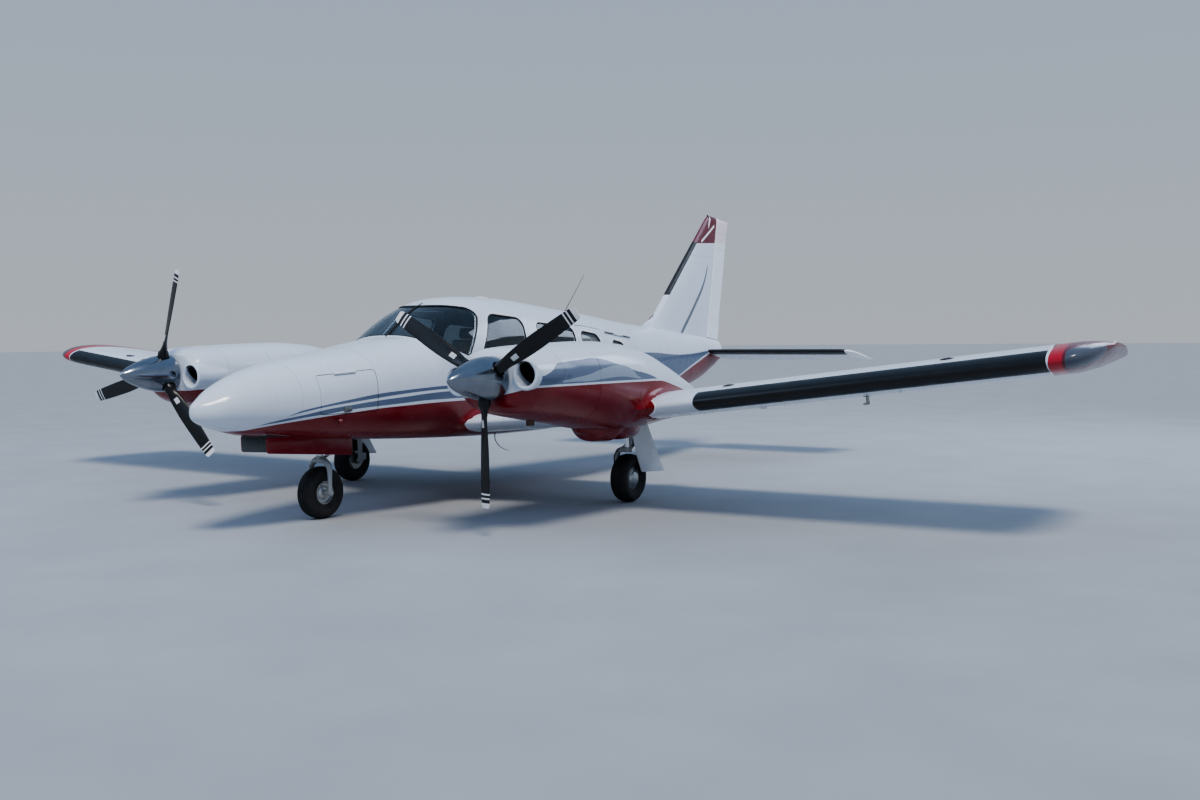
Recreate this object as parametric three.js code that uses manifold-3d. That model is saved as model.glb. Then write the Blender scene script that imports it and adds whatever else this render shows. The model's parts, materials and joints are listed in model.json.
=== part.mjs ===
// A light twin piston aircraft, parked on its three wheels: low wing, two engines with three-blade
// propellers, an all-moving tailplane and a swept fin.
// Millimetres. +X is to port, +Y aft and +Z up. The origin is on the ground, under the middle of the
// overall length and span.
import * as THREE from 'three';
import { mergeVertices } from 'three/addons/utils/BufferGeometryUtils.js';
import Module from 'manifold-3d';

const wasm = await Module();
wasm.setup();

// Driving dimensions
const LENGTH = 8720;
const SPAN = 11620;
const HEIGHT = 3020;
const TRACK = 3380;
const GEAR = { noseY: -3075, mainY: -960, tyreRadius: 215, tyreWidth: 158 };
const PROP = { x: 1830, y: -3220, z: 1180, radius: 955, blades: 3 };
const SEAT_GAP = 0.3; // between pieces that rest on each other
const PIN_GAP = 0.8; // radial clearance of a pin in its hole
const PIN_SIDES = 16; // sides of a pin and of its hole, enough for the pin to turn inside it
const RUN_GAP = 6; // round a control surface

// Fuselage sections: station y, half width, top z, bottom z, height of the widest line,
// and the squareness of the upper and lower halves (2 is an ellipse)
const FUSELAGE = [
  [-4345, 42, 1000, 892, 944, 2.0, 2.0],
  [-4270, 116, 1052, 846, 948, 2.0, 2.0],
  [-4130, 208, 1132, 800, 973, 2.05, 2.0],
  [-3900, 286, 1228, 744, 991, 2.05, 2.1],
  [-3600, 364, 1302, 712, 1010, 2.1, 2.3],
  [-3250, 436, 1354, 676, 1029, 2.25, 2.6],
  [-2850, 506, 1409, 644, 1045, 2.5, 2.8],
  [-2500, 556, 1461, 618, 1055, 2.7, 3.0],
  [-2260, 584, 1497, 602, 1060, 2.8, 3.0],
  [-2080, 600, 1628, 592, 1068, 2.8, 3.0],
  [-1900, 612, 1738, 582, 1078, 2.7, 3.0],
  [-1720, 622, 1810, 573, 1088, 2.7, 3.0],
  [-1560, 628, 1846, 566, 1096, 2.7, 3.0],
  [-1300, 633, 1862, 556, 1108, 2.8, 3.0],
  [-900, 635, 1856, 547, 1118, 2.8, 3.0],
  [-400, 633, 1814, 542, 1120, 2.8, 3.0],
  [100, 625, 1766, 545, 1116, 2.8, 3.0],
  [500, 602, 1733, 560, 1112, 2.7, 2.9],
  [850, 566, 1699, 586, 1110, 2.6, 2.8],
  [1150, 526, 1665, 618, 1112, 2.6, 2.7],
  [1600, 455, 1626, 668, 1120, 2.5, 2.6],
  [2200, 358, 1580, 742, 1140, 2.4, 2.5],
  [2800, 262, 1532, 820, 1162, 2.3, 2.4],
  [3350, 176, 1484, 912, 1185, 2.2, 2.3],
  [3750, 118, 1442, 1042, 1222, 2.1, 2.2],
  [4030, 76, 1412, 1150, 1268, 2.0, 2.1],
];
const NOSE_TIP = [0, -LENGTH / 2, 956];
const TAIL_TIP = [0, 4085, 1290];
const CONE_END = -3600;
const NOSE_END = -2260;
const CABIN_END = 1150;
const TAIL_HOLLOW_END = 3750;
const TAIL_WALL = 18;
const RING = 24; // points round a fuselage section
const INNER_RING = 16;
const WALL = 30;

// Nacelle sections, measured from the engine's centre line: station y, half width, top z, bottom z,
// height of the widest line, squareness
const NACELLE = [
  [-3108, 318, 1392, 968, 1180, 2.4],
  [-3070, 360, 1430, 936, 1180, 2.5],
  [-3000, 384, 1448, 905, 1180, 2.6],
  [-2700, 420, 1464, 848, 1170, 2.6],
  [-2300, 438, 1468, 786, 1150, 2.6],
  [-1950, 444, 1448, 726, 1120, 2.6],
  [-1600, 432, 1422, 692, 1095, 2.5],
  [-1250, 394, 1372, 690, 1060, 2.3],
  [-900, 322, 1264, 715, 1015, 2.2],
  [-600, 244, 1166, 772, 975, 2.1],
  [-300, 158, 1068, 832, 945, 2.0],
  [-80, 84, 992, 880, 930, 2.0],
];
// Flat six engine: the cylinder banks are wide and low, the crankcase between them is tall
const ENGINE = { front: -2940, z: 1172, width: 670, bank: 230, crankcase: 430, height: 420 };
const NACELLE_TAIL = [PROP.x, 0, 938];
const COWL_END = -2300;
const NACELLE_RING = 18;
const COWL_WALL = 22;
const INLET = { dx: 312, z: [1158, 1212], outer: 113, inner: 84, reach: 26 };

// Wing, in a frame that is tilted by the dihedral about the root line: span station, leading edge y,
// chord, thickness over chord, how far the leading edge is raised, and the whole section
const DIHEDRAL = THREE.MathUtils.degToRad(7.1);
const ROOT_Z = 607;
const INCIDENCE = THREE.MathUtils.degToRad(1.5);
const WING_CHORD = 1600;
const TRAILING_Y = -55;
const WING = [
  [300, -1965, 1910, 0.105, 58],
  [640, -1885, 1830, 0.108, 50],
  [1450, -1655, WING_CHORD, 0.135, 12],
  [2100, -1655, WING_CHORD, 0.135, 0],
  [5560, -1655, WING_CHORD, 0.135, 0],
];
const TIP = [
  [5560, -1655, 1600, 0.135, 0, 0],
  [5650, -1636, 1560, 0.13, 0, 6],
  [5740, -1560, 1400, 0.115, 0, 20],
  [5805, -1420, 1010, 0.1, 0, 40],
  [SPAN / 2 / Math.cos(DIHEDRAL), -1180, 430, 0.07, 0, 66],
];
const CAMBER = 0.015;
const AIRFOIL_STEPS = 7; // points along each side of a section
const FLAP = { from: 745, to: 3020, hingeY: -388 };
const AILERON = { from: 3080, to: 5440, hingeY: -365 };

// Fin and rudder: height z, leading edge y, trailing edge y, thickness over chord
const FIN = [
  [1380, 2090, 4030, 0.07],
  [1674, 2345, 4096, 0.075],
  [2400, 3118, 4244, 0.085],
  [2960, 3718, 4350, 0.09],
  [HEIGHT, 3806, LENGTH / 2, 0.05],
];
const RUDDER = { baseY: 3742, baseZ: 1480, topY: 4045, topZ: HEIGHT + 20, baseR: 46, topR: 22 };

// All-moving tailplane, parked with its trailing edge down on its stop
const STAB = { hingeY: 3690, z: 1252, rest: THREE.MathUtils.degToRad(9), chord: 840, root: 168, half: 2065 };
const STAB_SECTIONS = [
  [STAB.root, 0, 1, 0.088],
  [1900, 0, 1, 0.088],
  [2000, 0.03, 0.96, 0.078],
  [STAB.half, 0.16, 0.78, 0.04],
];
const TAB = { half: 1180, depth: 150 };

const PAINT = {
  white: { color: 0xdfe6ee, roughness: 0.25, metalness: 0 },
  red: { color: 0xa01024, roughness: 0.25, metalness: 0 },
  silver: { color: 0x9aa0a6, roughness: 0.3, metalness: 0.9 },
  steel: { color: 0xb8bcc0, roughness: 0.35, metalness: 0.9 },
  black: { color: 0x101114, roughness: 0.5, metalness: 0 },
  rubber: { color: 0x17171a, roughness: 0.85, metalness: 0 },
  glass: { color: 0x6d7a80, roughness: 0.05, metalness: 0, transparent: true, opacity: 0.35 },
  trim: { color: 0x3a3c40, roughness: 0.8, metalness: 0 },
  seat: { color: 0x8d857a, roughness: 0.8, metalness: 0 },
};

// Solids

function solidOf(geometry) {
  const bare = geometry.index ? geometry.toNonIndexed() : geometry.clone();
  bare.deleteAttribute('normal');
  bare.deleteAttribute('uv');
  const merged = mergeVertices(bare, 1e-4);
  const build = (triVerts) => new wasm.Manifold(new wasm.Mesh({
    numProp: 3,
    vertProperties: merged.attributes.position.array,
    triVerts,
  }));
  const triVerts = new Uint32Array(merged.index.array);
  const solid = build(triVerts);
  if (solid.volume() > 0) return solid;
  for (let i = 0; i < triVerts.length; i += 3) {
    [triVerts[i + 1], triVerts[i + 2]] = [triVerts[i + 2], triVerts[i + 1]];
  }
  return build(triVerts);
}

function geometryOf(solid) {
  const mesh = solid.getMesh();
  const geometry = new THREE.BufferGeometry();
  geometry.setAttribute('position', new THREE.BufferAttribute(new Float32Array(mesh.vertProperties), 3));
  geometry.setIndex(new THREE.BufferAttribute(new Uint32Array(mesh.triVerts), 1));
  geometry.computeVertexNormals();
  return geometry;
}

const joined = (...solids) => solids.reduce((all, one) => all.add(one));
const cut = (solid, ...tools) => tools.reduce((left, tool) => left.subtract(tool), solid);

// A closed skin through rings of points; each end closes to a point or to the middle of its ring.
function loft(rings, firstTip, lastTip) {
  const count = rings[0].length;
  const middle = (ring) => ring.reduce((sum, p) => sum.add(p), new THREE.Vector3()).divideScalar(count);
  const tipA = firstTip ?? middle(rings[0]);
  const tipB = lastTip ?? middle(rings[rings.length - 1]);
  const points = [...rings.flat(), tipA, tipB];
  const index = [];
  for (let r = 0; r + 1 < rings.length; r++) {
    for (let i = 0; i < count; i++) {
      const j = (i + 1) % count;
      const a = r * count + i, b = r * count + j;
      // the diagonals are mirrored too, so that both sides of a symmetric body match
      if (rings[r][i].x + rings[r][j].x < 0) index.push(a, b, a + count, b, b + count, a + count);
      else index.push(a, b, b + count, a, b + count, a + count);
    }
  }
  const lastRing = (rings.length - 1) * count;
  for (let i = 0; i < count; i++) {
    const j = (i + 1) % count;
    index.push(points.length - 2, j, i);
    index.push(points.length - 1, lastRing + i, lastRing + j);
  }
  const geometry = new THREE.BufferGeometry().setFromPoints(points);
  geometry.setIndex(index);
  return solidOf(geometry);
}

function placed(geometry, x, y, z, rx = 0, ry = 0, rz = 0) {
  const turn = new THREE.Matrix4().makeRotationFromEuler(new THREE.Euler(rx, ry, rz));
  geometry.applyMatrix4(turn);
  geometry.translate(x, y, z);
  return solidOf(geometry);
}

const block = (x, y, z, dx, dy, dz, rx = 0, ry = 0, rz = 0) =>
  placed(new THREE.BoxGeometry(dx, dy, dz), x, y, z, rx, ry, rz);

// A round rod between two points, or a cone if the radii differ.
function rod(from, to, radius, sides = 16, endRadius = radius) {
  const a = new THREE.Vector3(...from), b = new THREE.Vector3(...to);
  const axis = b.clone().sub(a);
  const geometry = new THREE.CylinderGeometry(endRadius, radius, axis.length(), sides);
  geometry.applyQuaternion(new THREE.Quaternion().setFromUnitVectors(
    new THREE.Vector3(0, 1, 0), axis.clone().normalize()));
  geometry.translate(...a.add(b).multiplyScalar(0.5).toArray());
  return solidOf(geometry);
}

// A turned profile of [radius, distance along the axis], its axis along X or Y.
function turned(profile, axis, x, y, z, sides = 24) {
  const geometry = new THREE.LatheGeometry(profile.map(([r, d]) => new THREE.Vector2(r, d)), sides);
  if (axis === 'x') geometry.rotateZ(-Math.PI / 2);
  geometry.translate(x, y, z);
  return solidOf(geometry);
}

// An outline in the side view, [y, z] points with rounded corners, run through from x0 to x1.
function sidePrism(points, x0, x1, round = 0, steps = 2) {
  const shape = new THREE.Shape();
  const corner = (i) => new THREE.Vector2(...points[(i + points.length) % points.length]);
  points.forEach((_, i) => {
    const at = corner(i), before = corner(i - 1), after = corner(i + 1);
    const start = at.clone().lerp(before, Math.min(0.45, round / at.distanceTo(before)));
    const end = at.clone().lerp(after, Math.min(0.45, round / at.distanceTo(after)));
    if (i === 0) shape.moveTo(start.x, start.y);
    else shape.lineTo(start.x, start.y);
    if (round > 0) shape.quadraticCurveTo(at.x, at.y, end.x, end.y);
  });
  const geometry = new THREE.ExtrudeGeometry(shape, { depth: x1 - x0, bevelEnabled: false, curveSegments: steps });
  // the outline's x and y become the aircraft's y and z, and the depth runs along x
  geometry.applyMatrix4(new THREE.Matrix4().makeBasis(
    new THREE.Vector3(0, 1, 0), new THREE.Vector3(0, 0, 1), new THREE.Vector3(1, 0, 0)));
  geometry.translate(x0, 0, 0);
  return solidOf(geometry);
}

// The outline moved inwards by a distance, for a piece that sits in its opening
function inset(points, by) {
  const area = points.reduce((sum, [y, z], i) => {
    const [y2, z2] = points[(i + 1) % points.length];
    return sum + y * z2 - y2 * z;
  }, 0);
  const turn = Math.sign(area);
  return points.map((_, i) => {
    const at = new THREE.Vector2(...points[i]);
    const into = at.clone().sub(new THREE.Vector2(...points[(i + points.length - 1) % points.length])).normalize();
    const out = new THREE.Vector2(...points[(i + 1) % points.length]).sub(at).normalize();
    const left = (v) => new THREE.Vector2(-v.y, v.x).multiplyScalar(turn);
    const middle = left(into).add(left(out)).normalize();
    const reach = by / middle.dot(left(into));
    return at.addScaledVector(middle, reach).toArray();
  });
}

// Sections

function ovalRing(x, y, halfWidth, top, bottom, belt, squareTop, squareBottom, count) {
  return Array.from({ length: count }, (_, i) => {
    const angle = (2 * Math.PI * i) / count;
    const c = Math.cos(angle), s = Math.sin(angle);
    const power = 2 / (s >= 0 ? squareTop : squareBottom);
    const height = s >= 0 ? top - belt : belt - bottom;
    return new THREE.Vector3(
      x + halfWidth * Math.sign(c) * Math.abs(c) ** power,
      y,
      belt + height * Math.sign(s) * Math.abs(s) ** power);
  });
}

// The fuselage between two stations, grown or shrunk by a skin distance
function fuselage(from, to, grow = 0, fromTip, toTip, count = RING) {
  const rows = FUSELAGE.filter(([y]) => y >= from && y <= to);
  const rings = rows.map(([y, w, top, bottom, belt, squareTop, squareBottom]) =>
    ovalRing(0, y, w + grow, top + grow, bottom - grow, belt, squareTop, squareBottom, count));
  return loft(rings, fromTip && new THREE.Vector3(...fromTip), toTip && new THREE.Vector3(...toTip));
}

function nacelle(from, to, grow = 0, count = NACELLE_RING) {
  const rows = NACELLE.filter(([y]) => y >= from && y <= to);
  return loft(rows.map(([y, w, top, bottom, belt, square]) =>
    ovalRing(PROP.x, y, w + grow, top + grow, bottom - grow, belt, square, square, count)),
  undefined, to < 0 ? undefined : new THREE.Vector3(...NACELLE_TAIL));
}

// A cambered section, as [distance behind the leading edge, height], both over the chord
function airfoil(thickness, camber = CAMBER, steps = AIRFOIL_STEPS) {
  const half = (x) => 5 * thickness
    * (0.2969 * Math.sqrt(x) - 0.126 * x - 0.3516 * x ** 2 + 0.2843 * x ** 3 - 0.1036 * x ** 4);
  const line = (x) => (x < 0.4
    ? (camber / 0.16) * (0.8 * x - x ** 2)
    : (camber / 0.36) * (0.2 + 0.8 * x - x ** 2));
  const spacing = Array.from({ length: steps + 1 }, (_, i) => 0.5 * (1 - Math.cos((Math.PI * i) / steps)));
  const upper = spacing.slice(1, -1).map((x) => [x, line(x) + half(x)]);
  const lower = spacing.slice(1, -1).reverse().map((x) => [x, line(x) - half(x)]);
  const blunt = 0.0015;
  return [[0, 0], ...upper, [1, blunt], [1, -blunt], ...lower];
}

function wingRing([span, leading, chord, thickness, raise = 0, lift = 0]) {
  return airfoil(thickness).map(([x, h]) => new THREE.Vector3(
    span,
    leading + x * chord * Math.cos(INCIDENCE),
    -x * chord * Math.sin(INCIDENCE) + h * chord + (1 - x) * raise + lift));
}

// Where the wing's middle line lies at a station, for its hinges
function wingMiddle(y) {
  const x = (y + 1655) / WING_CHORD;
  const camber = (CAMBER / 0.36) * (0.2 + 0.8 * x - x ** 2);
  const half = 5 * 0.135
    * (0.2969 * Math.sqrt(x) - 0.126 * x - 0.3516 * x ** 2 + 0.2843 * x ** 3 - 0.1036 * x ** 4);
  return {
    z: -x * WING_CHORD * Math.sin(INCIDENCE) + camber * WING_CHORD,
    radius: half * WING_CHORD * 0.985,
  };
}

// Group and meshes

const aircraft = new THREE.Group();

function add(parent, name, solid, paint) {
  const material = new THREE.MeshStandardMaterial(PAINT[paint]);
  const mesh = new THREE.Mesh(geometryOf(solid), material);
  mesh.name = name;
  parent.add(mesh);
  return mesh;
}

// Cabin openings in the side view, [y, z]
const SIDE_WINDOWS = {
  first: [[-1700, 1300], [-1012, 1312], [-978, 1662], [-1440, 1704]],
  second: [[-815, 1296], [-165, 1296], [-140, 1580], [-790, 1628]],
  third: [[-48, 1280], [342, 1280], [318, 1504], [-38, 1547]],
  fourth: [[575, 1240], [885, 1240], [868, 1411], [582, 1453]],
};
const WINDOW_ROUND = 60;
const WINDSHIELD = [[-2245, 1468], [-1836, 1318], [-1572, 1690], [-1612, 1752], [-1790, 1777], [-2245, 1740]];
const FRONT_DOOR = [[-1765, 945], [-905, 945], [-905, 1660], [-985, 1740], [-1478, 1750], [-1765, 1305]];
const REAR_DOOR = [[-98, 830], [425, 830], [425, 1555], [50, 1596], [-98, 1596]];
const CARGO_DOOR = [[470, 850], [1080, 850], [1080, 1468], [470, 1530]];
const NOSE_DOOR = [[-3436, 885], [-2900, 885], [-2900, 1235], [-3450, 1195]];
const GLASS = 8;
const DOOR_GAP = 5;
const PORT = [0, 900];
const STARBOARD = [-900, 0];

// A door's hinge runs along one edge of its opening, just outside the skin. The two outer knuckles
// stand on the body and the middle one on the door.
const HINGE = { radius: 9, lift: 10.5, length: 64, play: 0.5, leaf: 6, depth: 38, sides: 6 };
const HINGES = {
  front: { side: -1, from: [-1762.5, 960], to: [-1762.5, 1230], door: [1, 0], at: 135 },
  rear: { side: 1, from: [-95.5, 960], to: [-95.5, 1240], door: [1, 0], at: 140 },
  cargo: { side: 1, from: [470, 1527.5], to: [1080, 1465.5], door: [0, -1], at: 305 },
  nose: { side: 1, square: true, from: [-3450, 1192.5], to: [-2900, 1232.5], door: [0, -1], at: 275 },
};

// The skin point and the outward direction at a station and height
function skinAt(side, y, z) {
  const k = FUSELAGE.findIndex((row) => row[0] > y);
  const [a, b] = [FUSELAGE[k - 1], FUSELAGE[k]];
  const share = (y - a[0]) / (b[0] - a[0]);
  const [, w, top, bottom, belt, squareTop, squareBottom] = a.map((value, i) => value + share * (b[i] - value));
  const width = (height) => {
    const [reach, power] = height > belt ? [top - belt, squareTop] : [belt - bottom, squareBottom];
    return w * (1 - Math.abs((height - belt) / reach) ** power) ** (1 / power);
  };
  const slope = (width(z + 1) - width(z - 1)) / 2;
  return {
    point: new THREE.Vector3(side * width(z), y, z),
    out: new THREE.Vector3(side, 0, -slope).normalize(),
  };
}

function hingeFrame({ side, from, to, door }) {
  const [a, b] = [skinAt(side, ...from), skinAt(side, ...to)];
  const middle = skinAt(side, (from[0] + to[0]) / 2, (from[1] + to[1]) / 2);
  const along = b.point.clone().sub(a.point).normalize();
  const out = new THREE.Vector3(side, 0, 0);
  out.addScaledVector(along, -out.dot(along)).normalize();
  const bulge = middle.point.clone().sub(a.point.clone().add(b.point).multiplyScalar(0.5)).dot(out);
  const toDoor = new THREE.Vector3().crossVectors(along, out);
  if (toDoor.dot(new THREE.Vector3(0, ...door)) < 0) toDoor.negate();
  const steep = Math.min(a.out.dot(out), b.out.dot(out));
  const start = a.point.clone().addScaledVector(out, HINGE.lift / steep + Math.max(0, bulge));
  return { start, along, out, toDoor };
}

function knuckles(hinge) {
  const { start, along, out, toDoor } = hingeFrame(hinge);
  const at = (o, t, s) => start.clone().addScaledVector(out, o).addScaledVector(toDoor, t).addScaledVector(along, s);
  const piece = (s0, s1, sign) => {
    const barrel = rod(at(0, 0, s0).toArray(), at(0, 0, s1).toArray(), HINGE.radius, HINGE.sides);
    const leaf = new THREE.BoxGeometry(HINGE.depth, HINGE.leaf, s1 - s0 - 1);
    const frame = new THREE.Matrix4().makeBasis(out, toDoor, along);
    if (frame.determinant() < 0) frame.makeBasis(out, toDoor.clone().negate(), along);
    leaf.applyMatrix4(frame);
    leaf.translate(...at(-HINGE.depth / 2, sign * (HINGE.leaf / 2 + 3), (s0 + s1) / 2).toArray());
    return joined(barrel, solidOf(leaf));
  };
  const half = HINGE.length / 2;
  const s = hinge.at;
  return {
    fixed: [piece(s - 3 * half - HINGE.play, s - half - HINGE.play, -1),
      piece(s + half + HINGE.play, s + 3 * half + HINGE.play, -1)],
    moving: piece(s - half, s + half, 1),
  };
}

// Nose and cabin

const hullCutter = fuselage(-LENGTH, LENGTH, SEAT_GAP, NOSE_TIP, [0, TAIL_TIP[1] + 1, TAIL_TIP[2]]);

// The front edge of a door whose hinge follows the tapering skin is cut square to the hinge,
// so that it doesn't sweep forward as the door lifts
function squareFront(leaf, hinge) {
  const { start, along } = hingeFrame(hinge);
  const edge = start.clone();
  edge.y = hinge.from[0] + DOOR_GAP;
  return leaf.trimByPlane(along.toArray(), along.dot(edge));
}

function doorPieces(outline, name, shell) {
  const [x0, x1] = HINGES[name].side > 0 ? PORT : STARBOARD;
  const whole = shell.intersect(sidePrism(inset(outline, DOOR_GAP), x0, x1, 26));
  const leaf = HINGES[name].square ? squareFront(whole, HINGES[name]) : whole;
  const { fixed, moving } = knuckles(HINGES[name]);
  return {
    shell: joined(cut(shell, sidePrism(outline, x0, x1, 30)), ...fixed),
    door: joined(leaf, moving),
  };
}

const noseWell = block(0, -3310, 640, 272, 940, 380);
add(aircraft, 'nose_cone', cut(fuselage(-LENGTH, CONE_END, 0, NOSE_TIP), noseWell), 'white');

const noseSolid = fuselage(CONE_END, NOSE_END);
const noseInner = fuselage(CONE_END, NOSE_END, -WALL, undefined, undefined, INNER_RING);
const baggageBox = block(0, -3175, 1280, 1200, 640, 840);
const noseShell = cut(noseSolid, noseInner.intersect(baggageBox), noseWell);
const noseParts = doorPieces(NOSE_DOOR, 'nose', noseShell);
add(aircraft, 'nose_section', noseParts.shell, 'white');
add(aircraft, 'nose_door', noseParts.door, 'white');

const cabinSolid = fuselage(NOSE_END, CABIN_END);
const cabinInner = fuselage(NOSE_END, CABIN_END, -WALL, undefined, undefined, INNER_RING);
const bulkheads = joined(block(0, NOSE_END + 15, 1100, 1300, 30, 1400), block(0, CABIN_END - 15, 1100, 1300, 30, 1400));
let cabin = cut(cabinSolid, cut(cabinInner, bulkheads));
const glassBand = cut(cabinSolid, fuselage(NOSE_END, CABIN_END, -GLASS - 4));
const outerTrim = cut(cabinSolid, fuselage(NOSE_END, CABIN_END, -4));
const paneSkin = cut(glassBand, outerTrim);

const pane = (outline, [x0, x1], round = WINDOW_ROUND) =>
  paneSkin.intersect(sidePrism(inset(outline, SEAT_GAP), x0, x1, round));
const through = (outline, [x0, x1], round = WINDOW_ROUND) => sidePrism(outline, x0, x1, round);

const front = doorPieces(FRONT_DOOR, 'front', cabin);
const rear = doorPieces(REAR_DOOR, 'rear', front.shell);
const cargo = doorPieces(CARGO_DOOR, 'cargo', rear.shell);
const windshieldCut = through(WINDSHIELD, [-900, 900], 40);
cabin = cut(cargo.shell, windshieldCut,
  through(SIDE_WINDOWS.first, PORT), through(SIDE_WINDOWS.second, [-900, 900]),
  through(SIDE_WINDOWS.third, STARBOARD), through(SIDE_WINDOWS.fourth, STARBOARD));
add(aircraft, 'cabin_shell', cabin, 'white');
add(aircraft, 'front_door', cut(front.door, through(SIDE_WINDOWS.first, STARBOARD)), 'white');
add(aircraft, 'rear_door', cut(rear.door, through(SIDE_WINDOWS.third, PORT)), 'white');
add(aircraft, 'cargo_door', cut(cargo.door, through(SIDE_WINDOWS.fourth, PORT)), 'white');
add(aircraft, 'windshield', pane(WINDSHIELD, [-900, 900], 40), 'glass');
[['window_left_front', 'first', PORT], ['window_left_mid', 'second', PORT],
  ['window_right_mid', 'second', STARBOARD], ['window_right_rear', 'third', STARBOARD],
  ['window_right_aft', 'fourth', STARBOARD], ['front_door_window', 'first', STARBOARD],
  ['rear_door_window', 'third', PORT], ['cargo_door_window', 'fourth', PORT]].forEach(([name, which, side]) =>
  add(aircraft, name, pane(SIDE_WINDOWS[which], side), 'glass'));

// Cabin fittings
const FLOOR_Z = 760;
const cabinClear = cut(fuselage(NOSE_END, CABIN_END, -WALL - SEAT_GAP, undefined, undefined, INNER_RING),
  block(0, NOSE_END, 1100, 1400, 62, 1600), block(0, CABIN_END, 1100, 1400, 62, 1600));
add(aircraft, 'cabin_floor', cabinClear.intersect(block(0, -550, FLOOR_Z - 15, 1400, 3600, 30)), 'trim');
const panelBody = cabinClear.intersect(joined(
  block(0, -1815, 1195, 1160, 60, 330),
  block(0, -1900, 1372, 1160, 300, 26)));
const yoke = (x) => joined(
  rod([x, -1800, 1190], [x, -1600, 1190], 14, 12),
  block(x, -1600, 1175, 250, 26, 24),
  block(x - 118, -1600, 1215, 26, 30, 110),
  block(x + 118, -1600, 1215, 26, 30, 110));
add(aircraft, 'instrument_panel', joined(panelBody, yoke(-275), yoke(275),
  block(0, -1740, 900, 230, 200, 280 - 2 * SEAT_GAP)), 'trim');

function seatRow(backY, facing) {
  const seat = (x) => joined(
    block(x, backY + facing * 240, 1005, 420, 470, 110),
    block(x, backY, 1240, 410, 90, 470, facing * 0.14),
    block(x, backY - facing * 38, 1520, 240, 70, 120, facing * 0.14),
    block(x, backY - facing * 34, 1470, 60, 30, 60, facing * 0.14),
    block(x, backY + facing * 230, 870, 330, 120, 260));
  return joined(seat(-245), seat(245), block(0, backY + facing * 230, 800, 400, 60, 50));
}
const seatBase = block(0, 0, FLOOR_Z - 100, 3000, 6000, 200 + 2 * SEAT_GAP);
[['seats_front', -830, -1], ['seats_middle', -560, 1], ['seats_rear', 640, -1]].forEach(([name, y, facing]) =>
  add(aircraft, name, cut(seatRow(y, facing), seatBase), 'seat'));

// Tail

function tailRing([z, leading, trailing, thickness]) {
  return airfoil(thickness, 0, 7).map(([x, h]) =>
    new THREE.Vector3(h * (trailing - leading), leading + x * (trailing - leading), z));
}
const finSolid = loft(FIN.map(tailRing));
const rudderAxis = (z) => RUDDER.baseY + ((z - RUDDER.baseZ) * (RUDDER.topY - RUDDER.baseY)) / (RUDDER.topZ - RUDDER.baseZ);
const rudderTilt = Math.atan2(RUDDER.topY - RUDDER.baseY, RUDDER.topZ - RUDDER.baseZ);
const hingeCone = (grow) => rod([0, rudderAxis(1200), 1200], [0, rudderAxis(3200), 3200], RUDDER.baseR + grow + 4, 10, RUDDER.topR + grow - 2);
const aftOfHinge = (shift) => block(0, rudderAxis(2200) + 1000 / Math.cos(rudderTilt) + shift, 2200, 800, 2000, 4000, -rudderTilt);
const aboveRudderBase = (z) => block(0, 3900, z + 1000, 800, 2400, 2000);
const rudderPin = (z0, z1) => rod([0, rudderAxis(z0), z0], [0, rudderAxis(z1), z1], 14, 8);
const rudder = joined(
  finSolid.intersect(aftOfHinge(0)).add(hingeCone(0).intersect(finSolid)).intersect(aboveRudderBase(RUDDER.baseZ + 6)),
  rudderPin(RUDDER.baseZ - 20, RUDDER.baseZ + 40));
const finBody = cut(finSolid, aftOfHinge(-RUN_GAP - 2).intersect(aboveRudderBase(1300)), hingeCone(RUN_GAP + 2).intersect(aboveRudderBase(1300)), hullCutter);
const dorsal = cut(loft([[1560, 3], [1640, 24], [1900, 46], [2300, 60], [2500, 52]].map(([y, w], i) => {
  const top = [1646, 1650, 1664, 1760, 1780][i];
  return [[-w, 1400], [w, 1400], [w * 0.5, (1500 + top) / 2], [w * 0.16 + 2, top], [-w * 0.16 - 2, top], [-w * 0.5, (1500 + top) / 2]]
    .map(([x, z]) => new THREE.Vector3(x, y, z));
})), hullCutter);
add(aircraft, 'fin', joined(finBody, dorsal), 'white');

const stabTube = 30;
const tailBore = rod([-400, STAB.hingeY, STAB.z], [400, STAB.hingeY, STAB.z], stabTube + PIN_GAP, PIN_SIDES);
const rudderBoss = rod([0, rudderAxis(1340), 1340], [0, rudderAxis(RUDDER.baseZ - 20.5), RUDDER.baseZ - 20.5], 20, 12);
const tailHollow = fuselage(CABIN_END - 300, TAIL_HOLLOW_END, -TAIL_WALL, undefined, undefined, INNER_RING);
const tailSolid = joined(fuselage(CABIN_END, LENGTH, 0, undefined, TAIL_TIP), rudderBoss);
add(aircraft, 'tail_cone', cut(tailSolid, tailHollow, tailBore), 'white');
const rudderGroup = new THREE.Group();
aircraft.add(rudderGroup);
add(rudderGroup, 'rudder', rudder, 'white');

// Tailplane, built about its hinge and turned to its parked angle
const stabGroup = new THREE.Group();
stabGroup.position.set(0, STAB.hingeY, STAB.z);
stabGroup.rotation.x = -STAB.rest;
aircraft.add(stabGroup);
const stabRing = (side) => ([span, back, share, thickness]) => airfoil(thickness, 0, 7).map(([x, h]) =>
  new THREE.Vector3(side * span, (back + x * share - 0.27) * STAB.chord, h * share * STAB.chord));
const stabHalf = (side) => loft(STAB_SECTIONS.map(stabRing(side)));
const tabLine = STAB.chord * 0.73 - TAB.depth;
const tabCut = block(0, tabLine + 300, 0, 2 * TAB.half, 600, 200);
const stabWhole = joined(stabHalf(1), stabHalf(-1), rod([-STAB.root - 40, 0, 0], [STAB.root + 40, 0, 0], stabTube, PIN_SIDES),
  block(0, 437, 0, 2 * STAB.root + 60, 36, 16));
add(stabGroup, 'stabilator', cut(stabWhole, tabCut), 'white');
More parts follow.
